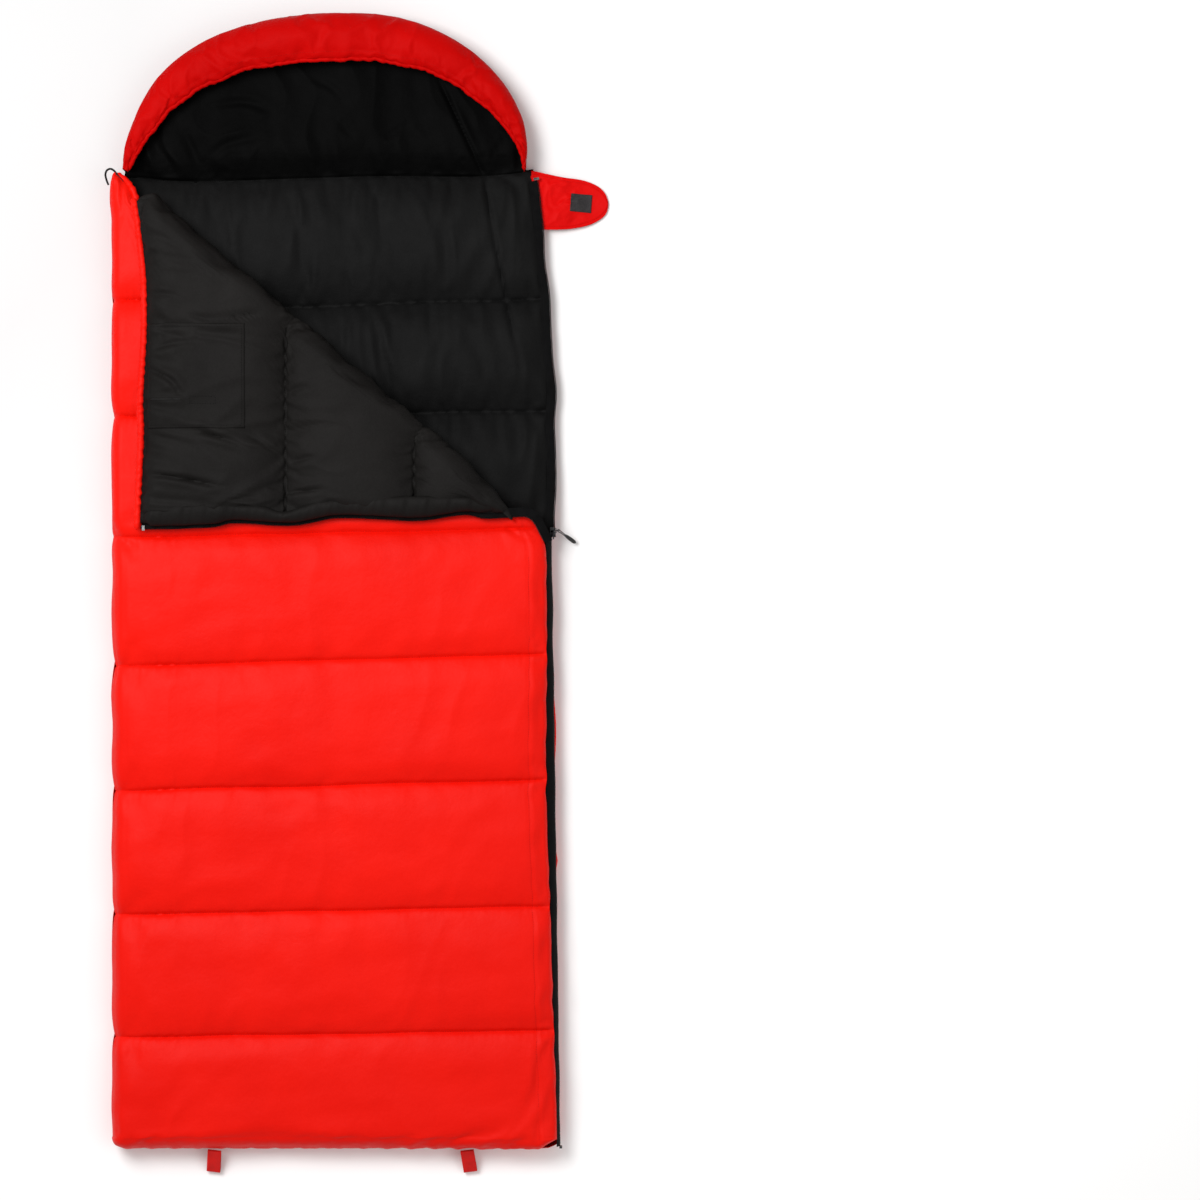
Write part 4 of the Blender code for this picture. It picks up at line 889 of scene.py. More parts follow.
def flap_place(v):
    """Level places of the folded corner: v runs from its zip edge, 0, to the diagonal fold, 1."""
    x = FLAP_X[None, :] + 0 * v
    for _ in range(3):
        y = mix(np.minimum(flap_edge_y(x), fold_y(x) - 0.001), fold_y(x), v)
        pull = along_curve(FLAP_LEFT_EDGE, y) - FLAP_COLUMNS[0]
        x = FLAP_X[None, :] + pull * neck_share(FLAP_X[None, :])
    return x, mix(np.minimum(flap_edge_y(x), fold_y(x) - 0.001), fold_y(x), v)


def neck_share(x):
    """How much a column follows the wandering neck edge: all at the edge, nothing 0.10 m in."""
    return 1 - smooth((x - FLAP_COLUMNS[0]) / 0.10)


def crowded(v):
    """Places from 0 to 1, a little closer together at both ends."""
    return v - 0.04 * np.sin(2 * np.pi * v)


def flap_height(x, y, places):
    """Height of the folded corner's lining: full between its lines, low at its sewn edges."""
    full = fullness(places, 2.6)[None, :] * np.ones_like(y)
    widths = np.diff(np.array(FLAP_COLUMNS))
    near = nearest_line(places, widths)[None, :]
    full = np.where(places[None, :] < 0.5, 1.0, full)
    full = np.where(places[None, :] > 2.5, 1.0, full)
    from_zip = y - flap_edge_y(x)
    from_neck = x - along_curve(FLAP_LEFT_EDGE, y)
    zip_round = np.sqrt(1 - (1 - np.clip(from_zip / 0.030, 0, 1)) ** 2)
    neck_round = np.sqrt(1 - (1 - np.clip(from_neck / 0.028, 0, 1)) ** 2)
    seam = np.where((places[None, :] > 0.5) & (places[None, :] < 2.5), near, 1.0)
    busy = 0.35 + 0.65 * smooth((-0.06 - x) / 0.1)
    detail = 0.0022 * ripple(y + 0.25 * seam, 0.021, 61) * np.exp(-seam / 0.014) * smooth(seam / 0.003)
    detail += 0.0018 * ripple(y - 0.35 * seam, 0.048, 62) * np.exp(-seam / 0.035) * smooth(seam / 0.008)
    detail += 0.0026 * ripple(y + 0.25 * from_neck, 0.040, 64) * np.exp(-from_neck / 0.055) * neck_round
    detail += 0.0022 * ridges(x * 0.8, y * 1.5, 0.11, 65) * smooth(seam / 0.03) * busy
    detail += creases(x, y, FLAP_CREASES)
    detail -= 0.0030 * np.exp(-((seam / 0.0036) ** 2))
    detail *= smooth((fold_y(x) - y) / 0.030)
    lumps = 0.0020 * cloud(x, y, 0.17, 63) * zip_round * neck_round
    h = mix(FLAP_VALLEY, FLAP_CREST, full) + lumps + detail
    return mix(FLAP_EDGE, h, zip_round * neck_round)


def fold_rings(x, y, top, places):
    """The lining as it turns over the diagonal: half rings that go on from the folded corner's last row.

    A point is the fold's middle + out x wide cos(angle) + up x (height between the two linings) sin(angle);
    the stitched lines pinch it, and it narrows at both ends."""
    distance = (x - FOLD_START[0]) * FOLD_ALONG[0] + (y - FOLD_START[1]) * FOLD_ALONG[1]
    last = distance[-1]
    near = nearest_line(places, np.diff(np.array(FLAP_COLUMNS)))
    near = np.where((places > 0.5) & (places < 2.5), near, 1.0)
    wide = 0.0335 * (1 - 0.27 * np.exp(-near / 0.012)) + 0.0010 * ripple(distance, 0.06, 71)
    for place in (0.16, 0.52, 0.83):
        wide *= 1 - 0.05 * np.exp(-(((distance - place) / 0.02) ** 2))
    wide *= np.sqrt(np.clip((distance - distance[0] + 0.004) / 0.022, 0, 1))
    wide *= np.sqrt(np.clip((last + 0.001 - distance) / 0.150, 0.0004, 1))
    tip = smooth((distance - last + 0.110) / 0.110)
    start = 1 - smooth((distance - distance[0]) / 0.020)
    middle = mix(HINGE_Z, 0.083, tip)
    low = mix(0.0445, 0.072, tip) + 0.010 * start
    angles = np.linspace(np.pi / 2, -np.pi / 2, 34)[1:, None]
    above = np.sin(angles) > 0
    rise = np.where(above, (top - middle)[None, :], (middle - low)[None, :])
    a = np.clip(np.cos(angles), 0, 1)
    run = distance[None, :] * np.ones_like(angles)
    crumple = 0.0015 * ripple(run + 0.02 * angles, 0.034, 72) + 0.0016 * cloud(run, angles * 0.03, 0.07, 73)
    shown = smooth((np.sin(angles) + 0.9) / 0.5) * smooth((1 - np.sin(angles)) / 0.12)
    out = wide[None, :] * a + crumple * shown * a * (1 - tip)
    z = middle[None, :] + rise * np.sin(angles) + 0.6 * crumple * shown * (1 - tip)
    return np.stack([x[None, :] + FOLD_OUT[0] * out, y[None, :] + FOLD_OUT[1] * out, z], -1)


def flap_lining():
    """The lining of the folded corner, with its columns along the two stitched lines, and over the fold."""
    x, y = flap_place(crowded(np.linspace(0, 1, FLAP_ROWS)[:, None]))
    h = flap_height(x, y, FLAP_PLACES)
    rings = fold_rings(x[-1], y[-1], h[-1], FLAP_PLACES)
    grid = np.concatenate([np.stack([x, y, h], -1), rings])
    held = np.zeros(grid.shape[:2])
    held[:, [48, 96]] = 1.0
    held[:2] = 1.0
    held[-12:] = 1.0
    held[:, :2] = 1.0
    held[:, -16:] = 1.0
    grid = wrinkle(grid, held, 0.028, 3.0, 0.007, skip=(3, 2))
    grid[:FLAP_ROWS, :, 2] = np.maximum(grid[:FLAP_ROWS, :, 2], FLAP_LOWEST)
    lining = grid_piece("flap_lining_cloth", grid, WARM_LINING)
    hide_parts("flap_lining", "flap_fill", "fold_roll_lining", "fold_roll_fill")
    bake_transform(lining)
    seams = [grid[6 : FLAP_ROWS - 2, 48], grid[6 : FLAP_ROWS - 2, 96]]
    stitches("flap_quilting_stitches", seams, BLACK_THREAD, "flap")
    return grid[:FLAP_ROWS]


def flap_underside():
    """The red outer cloth of the folded corner, which now faces down and shows when the corner is closed."""
    x, y = flap_place(np.linspace(0, 1, 90)[:, None])
    full = np.where(FLAP_PLACES < 0.5, 1.0, fullness(FLAP_PLACES))[None, :] * np.ones_like(y)
    h = mix(0.0828, 0.0798, full)
    from_zip = np.clip((y - flap_edge_y(x)) / 0.03, 0, 1)
    from_neck = np.clip((x - along_curve(FLAP_LEFT_EDGE, y)) / 0.028, 0, 1)
    h = mix(0.0850, h, np.sqrt(1 - (1 - from_zip) ** 2) * np.sqrt(1 - (1 - from_neck) ** 2))
    grid = np.stack([x, y, h], -1)[:, ::-1]
    shell = grid_piece("flap_red_cloth", grid, RED_CLOTH)
    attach(shell, "flap")
    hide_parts("flap_shell")


def fold_crease():
    """The red cloth where it turns back under the fold: a small half ring along the diagonal."""
    inner = np.linspace(-np.pi / 2, np.pi / 2, 9)[None, :]
    s = np.linspace(0.008, FOLD_LONG - 0.07, 120)[:, None]
    out = 0.003 * np.cos(inner) * np.ones_like(s) - 0.001
    x = FOLD_START[0] + FOLD_ALONG[0] * s + FOLD_OUT[0] * out
    y = FOLD_START[1] + FOLD_ALONG[1] * s + FOLD_OUT[1] * out
    z = HINGE_Z + 0.0028 * np.sin(inner) * np.ones_like(s)
    crease = grid_piece("fold_crease_cloth", np.stack([x, y, z], -1), RED_CLOTH)
    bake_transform(crease)


def gathered_tube(name, line, radius, wave, depth, material, body, node_names, seed):
    """A sewn cord channel, gathered: rings along the line whose radius swells and pinches."""
    line = evenly(line, max(60, int(length_of(line) / 0.0022)))
    run = np.gradient(line, axis=0)
    run /= np.linalg.norm(run, axis=1, keepdims=True)
    side = np.cross(run, (0, 0, 1))
    side /= np.linalg.norm(side, axis=1, keepdims=True)
    up = np.cross(side, run)
    s = np.arange(len(line)) * length_of(line) / (len(line) - 1)
    turn = np.linspace(0, 2 * np.pi, 16, endpoint=False)
    swell = 1 + depth * ripple(s, wave, seed)[:, None] * (0.7 + 0.3 * np.cos(turn + seed))[None, :]
    swell = swell + 0.6 * depth * ripple(s[:, None] + 0.004 * turn[None, :], wave * 0.6, seed + 1)
    taper = np.sqrt(np.clip(np.minimum(s, s[-1] - s) / 0.006, 0.02, 1))[:, None]
    r = radius * swell * taper
    points = line[:, None] + side[:, None] * (r * np.cos(turn))[..., None]
    points = points + up[:, None] * (r * np.sin(turn))[..., None]
    tube = grid_piece(name, closed_tube(points), material, thick=0, ring_columns=True)
    outward(tube)
    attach(tube, body)
    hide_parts(*node_names)
    return tube


def outward(obj):
    """Turns a closed mesh's faces outwards, after its doubles are merged."""
    bm = bmesh.new()
    bm.from_mesh(obj.data)
    bmesh.ops.recalc_face_normals(bm, faces=bm.faces)
    bm.to_mesh(obj.data)
    bm.free()


def neck_hems():
    """The gathered red hem: along the folded corner's neck edge, and on the part that stays down."""
    y = np.linspace(0.1000, 0.7380, 90)
    x = along_curve(FLAP_LEFT_EDGE, y) - 0.0050
    z = 0.0915 + 0.0030 * np.sin(y * 9) + 0 * y
    gathered_tube(
        "flap_neck_hem_cloth", np.stack([x, y, z], -1), 0.0068, 0.016, 0.16, RED_CLOTH, "flap",
        ("flap_neck_hem", "flap_neck_cord"), 81,
    )  # fmt: skip
    y = np.linspace(0.7330, 0.7895, 24)
    x = hem_curve(y) + 0.0010
    z = 0.0600 - 0.010 * smooth((y - 0.755) / 0.03)
    gathered_tube(
        "tip_neck_hem_cloth", np.stack([x, y, z], -1), 0.0062, 0.014, 0.14, RED_CLOTH, "bag",
        ("tip_neck_hem", "tip_neck_cord"), 83,
    )  # fmt: skip


def flap_draft_tube():
    """The padded strip behind the open zip: a soft oval tube, pulled into wrinkles by its seam."""
    x = np.linspace(-0.3560, 0.3300, 320)
    edge = flap_edge_y(x)
    upper = along_curve(DRAFT_TUBE_EDGE, x)
    middle, half = (edge + upper) / 2 - 0.001, np.maximum((upper - edge) / 2 + 0.003, 0.010)
    ends = np.sqrt(np.clip(np.minimum((x - x[0]) / 0.014, (x[-1] - x) / 0.070), 0.02, 1))
    half = half * ends
    turn = np.linspace(0, 2 * np.pi, 26, endpoint=False)[None, :]
    crumple = 0.10 * ripple(x[:, None] + 0.010 * np.sin(turn), 0.042, 91)
    crumple += 0.035 * ripple(x[:, None] + 0.004 * turn, 0.019, 92)
    high = 0.0125 * ends[:, None] * (1 + crumple * 1.3)
    yy = middle[:, None] + half[:, None] * np.cos(turn) * (1 + 0.12 * crumple)
    slope = (yy - edge[:, None]) / 0.045
    base = mix(0.0985, 0.1090, np.clip(slope, 0, 1))
    zz = base + high * np.sin(turn)
    points = np.stack([np.repeat(x[:, None], 26, 1), yy, zz], -1)
    tube = grid_piece("flap_draft_tube_cloth", closed_tube(points), WARM_LINING, thick=0, ring_columns=True)
    outward(tube)
    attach(tube, "flap")
    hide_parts("flap_draft_tube")


def read_grid(grid, rows, columns):
    """A grid read between its points, at fractional rows and columns."""
    i = np.clip(np.floor(rows).astype(int), 0, grid.shape[0] - 2)
    j = np.clip(np.floor(columns).astype(int), 0, grid.shape[1] - 2)
    a, b = (rows - i)[..., None], (columns - j)[..., None]
    low = grid[i, j] * (1 - b) + grid[i, j + 1] * b
    high = grid[i + 1, j] * (1 - b) + grid[i + 1, j + 1] * b
    return low * (1 - a) + high * a


def on_flap(grid, x, y, lift):
    """Points that lie on the folded corner's lining at level places, raised a little."""
    edge, top = flap_edge_y(x), fold_y(x)
    v = np.clip((y - edge) / (top - edge), 0, 1)
    rows = np.interp(v, crowded(np.linspace(0, 1, FLAP_ROWS)), np.arange(FLAP_ROWS))
    pull = along_curve(FLAP_LEFT_EDGE, y) - FLAP_COLUMNS[0]
    columns = np.interp(x - pull * neck_share(x), FLAP_X, np.arange(len(FLAP_X)))
    return np.stack([x, y, read_grid(grid, rows, columns)[..., 2] + lift], -1)


def pocket(grid):
    """The flat inner pocket with its stitched outline, and the strip that closes its mouth."""
    x, y = np.meshgrid(np.linspace(-0.3480, -0.1600, 64), np.linspace(0.2940, 0.4950, 68))
    border = np.minimum(np.minimum(x - x.min(), x.max() - x), np.minimum(y - y.min(), y.max() - y))
    lip = 0.0016 * np.exp(-(((y - 0.3530) / 0.004) ** 2)) * smooth((-0.27 - x) / 0.01)
    mouth = 0.0014 * np.exp(-(((y - 0.3480) / 0.0022) ** 2)) * smooth((-0.2780 - x) / 0.006)
    panel = on_flap(grid, x, y, 0.0010 + 0.0009 * smooth(border / 0.008) + lip - mouth)
    piece = grid_piece("pocket_cloth", panel, WARM_LINING, thick=0.0006)
    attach(piece, "flap")
    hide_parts("pocket_panel")
    seams = []
    for left, right, low, high, count in (
        (x.min() + 0.006, x.max() - 0.006, y.min() + 0.006, y.max() - 0.006, 240),
        (-0.2650, -0.2165, 0.3410, 0.3550, 60),
    ):
        corners = np.array([(left, low), (right, low), (right, high), (left, high), (left, low)])
        outline = evenly(corners, count)
        seams.append(on_flap(grid, outline[:, 0], outline[:, 1], 0.0026))
    stitches("pocket_stitches", seams, BLACK_THREAD, "flap")
    x, y = np.meshgrid(np.linspace(-0.3420, -0.2820, 30), np.linspace(0.3490, 0.3560, 8))
    strip = grid_piece("pocket_closure_strip", on_flap(grid, x, y, 0.0021), DARK_HOOKS, thick=0.0008)
    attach(strip, "flap")
    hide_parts("pocket_closure")


# ---------------------------------------------------------------- hood
def hood_shift(rise):
    """How far the hood leans towards the zip at a share of its height."""
    return -0.004 + 0.0097 * np.minimum(1, rise / 0.3) + 0.026 * rise**8


def hood_outline(turn):
    """Its outer edge: a rounded half ring |x/a|^2.2 + |y/b|^2.2 = 1 that leans towards the zip."""
    c, s = np.cos(turn), np.sin(turn)
    x = HOOD_MIDDLE + hood_shift(s) + 0.3905 * np.sign(c) * np.abs(c) ** (2 / 2.2)
    return x, NECK_Y + 0.3070 * np.abs(s) ** (2 / 2.2)


def brim_outline(turn):
    """The brim's inner edge, flatter at the top and straighter down its sides."""
    c, s = np.cos(turn), np.abs(np.sin(turn))
    n = 1.70 + 0.5 * s**2
    x = HOOD_MIDDLE + 0.0045 + hood_shift(s) + 0.3830 * np.sign(c) * np.abs(c) ** (2 / n)
    return x, NECK_Y + 0.2165 * s ** (2 / n)


BRIM_PROFILE = (
    (0.120, 0.0030), (0.030, 0.0120), (0.000, 0.0280), (0.010, 0.0520), (0.090, 0.0765), (0.340, 0.0940),
    (0.700, 0.0925), (0.940, 0.0830), (1.000, 0.0740),
)  # fmt: skip
BRIM_LINING_PROFILE = (
    (1.000, 0.0720), (0.780, 0.0720), (0.420, 0.0660), (0.170, 0.0480), (0.075, 0.0270), (0.090, 0.0175),
)  # fmt: skip
HEM_STITCH = 0.84  # the brim's sewn line, as a share of its width


def brim():
    """The red brim in one surface: from the floor out and over to its hem, along the hood's outline."""
    turn = np.radians(np.linspace(1.0, 179.0, 300))
    ox, oy = hood_outline(turn)
    ix, iy = brim_outline(turn)
    rise = 0.45 + 0.55 * np.sin(turn) ** 0.8
    profile = curve_through(BRIM_PROFILE, 5)
    t, z = profile[:, 0][:, None], profile[:, 1][:, None]
    above = np.clip((z - 0.028) / 0.066, 0, 1)
    high = np.where(z > 0.028, 0.028 + (z - 0.028) * rise[None, :], z)
    along = np.linspace(0, 1.12, len(turn))[None, :] * np.ones_like(high)
    full = smooth(above * 2) * smooth((1.0 - t) / 0.2 + 0.15)
    high = high + 0.0022 * cloud(along, t * 0.09, 0.11, 101) * full
    hem = np.exp(-((t - 0.93) / 0.10) ** 2)
    high = high + 0.0018 * hem * ripple(along + 0.02 * t, 0.030, 102)
    spread = 0.0042 * ripple(along, 0.100, 103) * hem + 0.0014 * ripple(along, 0.024, 104) * hem
    x = mix(ox[None, :], ix[None, :], t) + spread * (ix - ox)[None, :] / 0.09
    y = mix(oy[None, :], iy[None, :], t) + spread * (iy - oy)[None, :] / 0.09
    high = high - 0.0034 * np.exp(-(((t - HEM_STITCH) / 0.022) ** 2))
    high = high + 0.0020 * ridges(along, t * 0.09, 0.09, 106) * full
    grid = np.stack([x, y, high], -1)
    held = np.zeros(grid.shape[:2])
    held[:12] = 1.0
    held[-3:] = 0.8
    held[:, :4] = 1.0
    held[:, -4:] = 1.0
    grid = wrinkle(grid, held, 0.015, 2.0, 0.006, skip=(1, 2))
    # the brim's cloth is the red polyester made darker: painted shade
    piece = grid_piece("brim_red_cloth", grid, BRIM_CLOTH_PAINTED_SHADE)
    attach(piece, "hood")
    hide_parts("brim_shell", "brim_fill", "hood_fill")
    hem_line = grid[-1].copy()
    gathered_tube(
        "brim_hem_cloth", hem_line[2:-2], 0.0044, 0.020, 0.20, BRIM_CLOTH_PAINTED_SHADE, "hood",
        ("brim_hem", "hood_cord"), 105,
    )  # fmt: skip
    row = int(np.argmin(np.abs(profile[:, 0] - HEM_STITCH)[30:])) + 30
    stitches("brim_hem_stitches", [grid[row, 6:-6]], RED_THREAD, "hood")

    inner = curve_through(BRIM_LINING_PROFILE, 5)
    t, z = inner[:, 0][:, None], inner[:, 1][:, None]
    high = np.where(z > 0.022, 0.022 + (z - 0.022) * rise[None, :] * 0.97, z)
    x = mix(ox[None, :], ix[None, :], t) + spread[-1:] * (ix - ox)[None, :] / 0.09 * t
    y = mix(oy[None, :], iy[None, :], t) + spread[-1:] * (iy - oy)[None, :] / 0.09 * t
    lining = grid_piece("brim_lining_cloth", np.stack([x, y, high], -1), HOOD_LINING)
    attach(lining, "hood")
    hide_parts("brim_lining")


def hood_disc(count_across, count_up):
    """A half disc as a grid without a pole: X = u sqrt(1 - v^2/2), Y = v sqrt(1 - u^2/2)."""
    u, v = np.meshgrid(np.linspace(-1, 1, count_across), np.linspace(0, 1, count_up))
    x, y = u * np.sqrt(1 - v * v / 2), v * np.sqrt(1 - u * u / 2)
    return np.hypot(x, y), np.arctan2(y, x)


def dart_x_at(y):
    """The dart in the hood's lining, which leans away from the zip."""
    return DART_X - (y - NECK_Y) * 0.47


def hood_back():
    """The hood's lining, from the neck seam to the hood's outline; returns the stitched line of its dart."""
    reach, turn = hood_disc(240, 130)
    ox, oy = hood_outline(turn)
    base = HOOD_MIDDLE + hood_shift(np.sin(turn)) * reach
    x = mix(base, ox, reach)
    y = mix(NECK_Y, oy, reach)
    seam = seam_y(x)
    y = y + (seam - NECK_Y - 0.0040) * (1 - smooth((y - NECK_Y) / 0.06))
    inside = np.sqrt(1 - np.clip((reach - 0.90) / 0.10, 0, 1) ** 2)
    from_seam = np.maximum(y - seam, 0)
    full = smooth(from_seam / 0.045) ** 0.7
    h = mix(BASE_VALLEY, 0.0300, full)
    dart = x - dart_x_at(y)
    h = h - 0.0060 * np.exp(-((dart / 0.005) ** 2)) * smooth((0.990 - y) / 0.06)
    h = h - 0.0040 * smooth((dart - 0.002) / 0.02) * smooth((0.96 - y) / 0.08) * smooth(from_seam / 0.02)
    gathers = np.exp(-from_seam / 0.06) * smooth(from_seam / 0.012)
    h = h + 0.0028 * ripple(x + 0.25 * from_seam, 0.050, 111) * gathers
    h = h + 0.0035 * cloud(x, y, 0.15, 112) * smooth((reach - 0.15) / 0.3)
    left_side = 0.35 + 0.65 * smooth((0.02 - x) / 0.12)
    h = h + 0.0030 * ridges(x * 1.15, y * 0.85, 0.120, 113) * left_side * smooth(from_seam / 0.04)
    h = h + creases(x, y, HOOD_CREASES, 0.012)
    h = np.maximum(h, 0.0100)
    h = np.where(y < seam, 0.0085, h)
    grid = np.stack([x, y, mix(0.0150, h, inside)], -1)
    held = np.zeros(grid.shape[:2])
    held[0] = 1.0
    held[-2:] = 1.0
    held[:, :2] = 1.0
    held[:, -2:] = 1.0
    grid = wrinkle(grid, held, 0.012, 3.0, 0.006, skip=(3, 3))
    rim = reach > 0.985
    grid[..., 2] = np.where(rim, np.minimum(grid[..., 2], 0.026), grid[..., 2])
    lining = grid_piece("hood_lining_cloth", grid, HOOD_LINING)
    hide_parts("hood_lining")
    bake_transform(lining)
    dart_y = np.linspace(0.800, 0.975, 60)
    return np.stack([dart_x_at(dart_y), dart_y, nearest_height(grid, dart_x_at(dart_y), dart_y)], -1)


def nearest_height(grid, x, y):
    """The height of the grid's point nearest to each level place."""
    points = grid.reshape(-1, 3)
    away = (points[:, 0] - x[:, None]) ** 2 + (points[:, 1] - y[:, None]) ** 2
    return points[np.argmin(away, axis=1), 2]


def hood_underside():
    """The red cloth under the hood, almost flat on the floor."""
    reach, turn = hood_disc(80, 44)
    ox, oy = hood_outline(turn)
    x = mix(HOOD_MIDDLE + hood_shift(np.sin(turn)) * reach, ox, reach * 0.985)
    y = mix(NECK_Y, oy, reach * 0.985)
    h = mix(0.0030, 0.0008, smooth((1 - reach) / 0.2))
    h = mix(0.0060, h, smooth((y - NECK_Y) / 0.04))
    grid = np.stack([x, y, h], -1)[:, ::-1]
    shell = grid_piece("hood_red_underside", grid, RED_CLOTH)
    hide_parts("hood_shell")
    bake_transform(shell)


# ---------------------------------------------------------------- zip
COIL_PITCH, COIL_WIRE = 0.0016, 0.00042
UPPER_TAPE = ((0.0, 0.0405), (0.0008, 0.0440), (-0.0010, 0.0490), (-0.0035, 0.0540), (-0.0065, 0.0585))
LOWER_TAPE = ((0.0, 0.0355), (0.0009, 0.0320), (0.0004, 0.0280), (-0.0012, 0.0240))
BASE_TAPE = (
    (-0.0115, 0.0020), (-0.0050, 0.0014), (0.0050, 0.0), (0.0050, 0.0009), (-0.0050, 0.0024),
    (-0.0115, 0.0030),
)  # fmt: skip
FLAP_TAPE = ((-0.0170, 0.0), (0.0, 0.0), (0.0, 0.0009), (-0.0170, 0.0009))
TAPE_TO_SLIDER = (
    (0.3720, 0.1265, 0.0850), (0.3830, 0.1240, 0.0825), (0.3915, 0.1165, 0.0790), (0.3975, 0.1060, 0.0745),
    (0.4030, 0.0955, 0.0700), (0.4085, 0.0850, 0.0650), (0.4120, 0.0750, 0.0600),
)  # fmt: skip


def ribbon(name, line, section, material, body, nodes):
    """A flat section [sideways, up] carried along a line, closed at its ends."""
    run = np.gradient(line, axis=0)
    run /= np.linalg.norm(run, axis=1, keepdims=True)
    side = np.stack([run[:, 1], -run[:, 0], 0 * run[:, 0]], -1)
    side /= np.linalg.norm(side, axis=1, keepdims=True)
    section = np.array(section, float)
    up = np.array([0, 0, 1.0])
    points = line[:, None] + side[:, None] * section[None, :, :1] + up * section[None, :, 1:]
    piece = grid_piece(name, closed_tube(points), material, thick=0, ring_columns=True)
    outward(piece)
    if body:
        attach(piece, body)
    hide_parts(*nodes)
    return piece


def coil(name, line, wide, high, body, nodes):
    """The zip's coil: a wire wound round the line, sideways by wide and upwards by high."""
    count = int(length_of(line) / COIL_PITCH * 9)
    middle = evenly(line, count)
    run = np.gradient(middle, axis=0)
    run /= np.linalg.norm(run, axis=1, keepdims=True)
    side = np.stack([run[:, 1], -run[:, 0], 0 * run[:, 0]], -1)
    up = np.cross(side, run)
    turn = np.arange(count) * 2 * np.pi / 9.0
    wound = middle + side * (wide * np.cos(turn))[:, None] + up * (high * np.sin(turn))[:, None]
    spoke = side * np.cos(turn)[:, None] + up * np.sin(turn)[:, None]
    ring = np.linspace(0, 2 * np.pi, 4, endpoint=False)
    points = wound[:, None] + spoke[:, None] * (COIL_WIRE * np.cos(ring))[None, :, None]
    points = points + run[:, None] * (COIL_WIRE * np.sin(ring))[None, :, None]
    piece = grid_piece(name, points, COIL, thick=0, ring_columns=True)
    outward(piece)
    if body:
        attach(piece, body)
    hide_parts(*nodes)
    return piece


def closed_zip():
    """The closed zip below the slider: two tapes that bow out of the seam, and the coil between them."""
    y = np.linspace(FOOT_Y + 0.0065, SLIDER_Y - 0.002, 240)
    sway = 0.0009 * ripple(y, 0.11, 121)
    x = zip_line(y) - 0.0022 + sway
    inset = top_edge_inset(y)
    upper = curve_through(UPPER_TAPE, 3)
    rows = []
    for level, (out, z) in enumerate(upper):
        share = level / (len(upper) - 1)
        reach = mix(0.0, -(inset - 0.0022 - 0.0065), share) * share
        rows.append(np.stack([x + out + reach, y, np.full_like(y, z)], -1))
    grid = np.array(rows).transpose(1, 0, 2)
    tape = grid_piece("closed_tape_upper_cloth", grid[:, ::-1], TAPE, thick=0.0009)
    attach(tape, "bag")
    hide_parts("closed_tape_upper")
    rows = [np.stack([x + out, y, np.full_like(y, z)], -1) for out, z in curve_through(LOWER_TAPE, 3)]
    grid = np.array(rows).transpose(1, 0, 2)
    tape = grid_piece("closed_tape_lower_cloth", grid, TAPE, thick=0.0009)
    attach(tape, "bag")
    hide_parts("closed_tape_lower")
    line = np.stack([x + 0.0004, y, np.full_like(y, ZIP_Z)], -1)
    coil("closed_coil_wire", line, 0.0012, 0.0026, "bag", ("closed_coil_upper", "closed_coil_lower"))


def open_zip():
    """The open halves: one along the bottom quilt, one round the folded corner and down to the slider."""
    y = np.linspace(SLIDER_Y - 0.008, NECK_Y - 0.012, 200)
    sway = 0.0014 * ripple(y, 0.12, 131)
    lift = 0.0012 + 0.0008 * ripple(y, 0.05, 132)
    x = zip_line(y) + sway
    z = base_edge(y) + 0.0030 + lift
    line = np.stack([x, y, z], -1)
    ribbon("base_tape_cloth", line, BASE_TAPE, TAPE, "bag", ("base_tape",))
    coil("base_coil_wire", line + np.array([0.0062, 0, 0.0008]), 0.0013, 0.0013, "bag", ("base_coil",))
    seam = line + np.array([-0.0062, 0, 0.0026])
    stitches("base_tape_stitches", [seam], BLACK_THREAD, "bag")

    x = np.linspace(-0.3640, 0.3720, 260)
    y = along_curve(FLAP_TAPE_EDGE, x) + 0.0040
    z = 0.0900 + 0.0012 * ripple(x, 0.05, 133) - 0.006 * smooth((x - 0.30) / 0.07)
    level = np.stack([x, y, z], -1)
    down = curve_through(TAPE_TO_SLIDER, 10)
    line = evenly(np.vstack([level, down[3:]]), 320)
    tape = ribbon("flap_tape_cloth", line, FLAP_TAPE, TAPE, None, ("flap_tape",))
    wire_line = line + np.array([0, -0.0002, 0.0004])
    wire = coil("flap_coil_wire", wire_line, 0.0014, 0.0014, None, ("flap_coil",))
    for piece in (tape, wire):
        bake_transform(piece)
    seam = level[2:-8] + np.array([0, 0.0085, 0.0017])
    stitches("flap_tape_stitches", [seam], BLACK_THREAD, "flap")


# ---------------------------------------------------------------- small pieces
STITCH_PITCH, STITCH_LONG, STITCH_WIDE = 0.0046, 0.0017, 0.00042


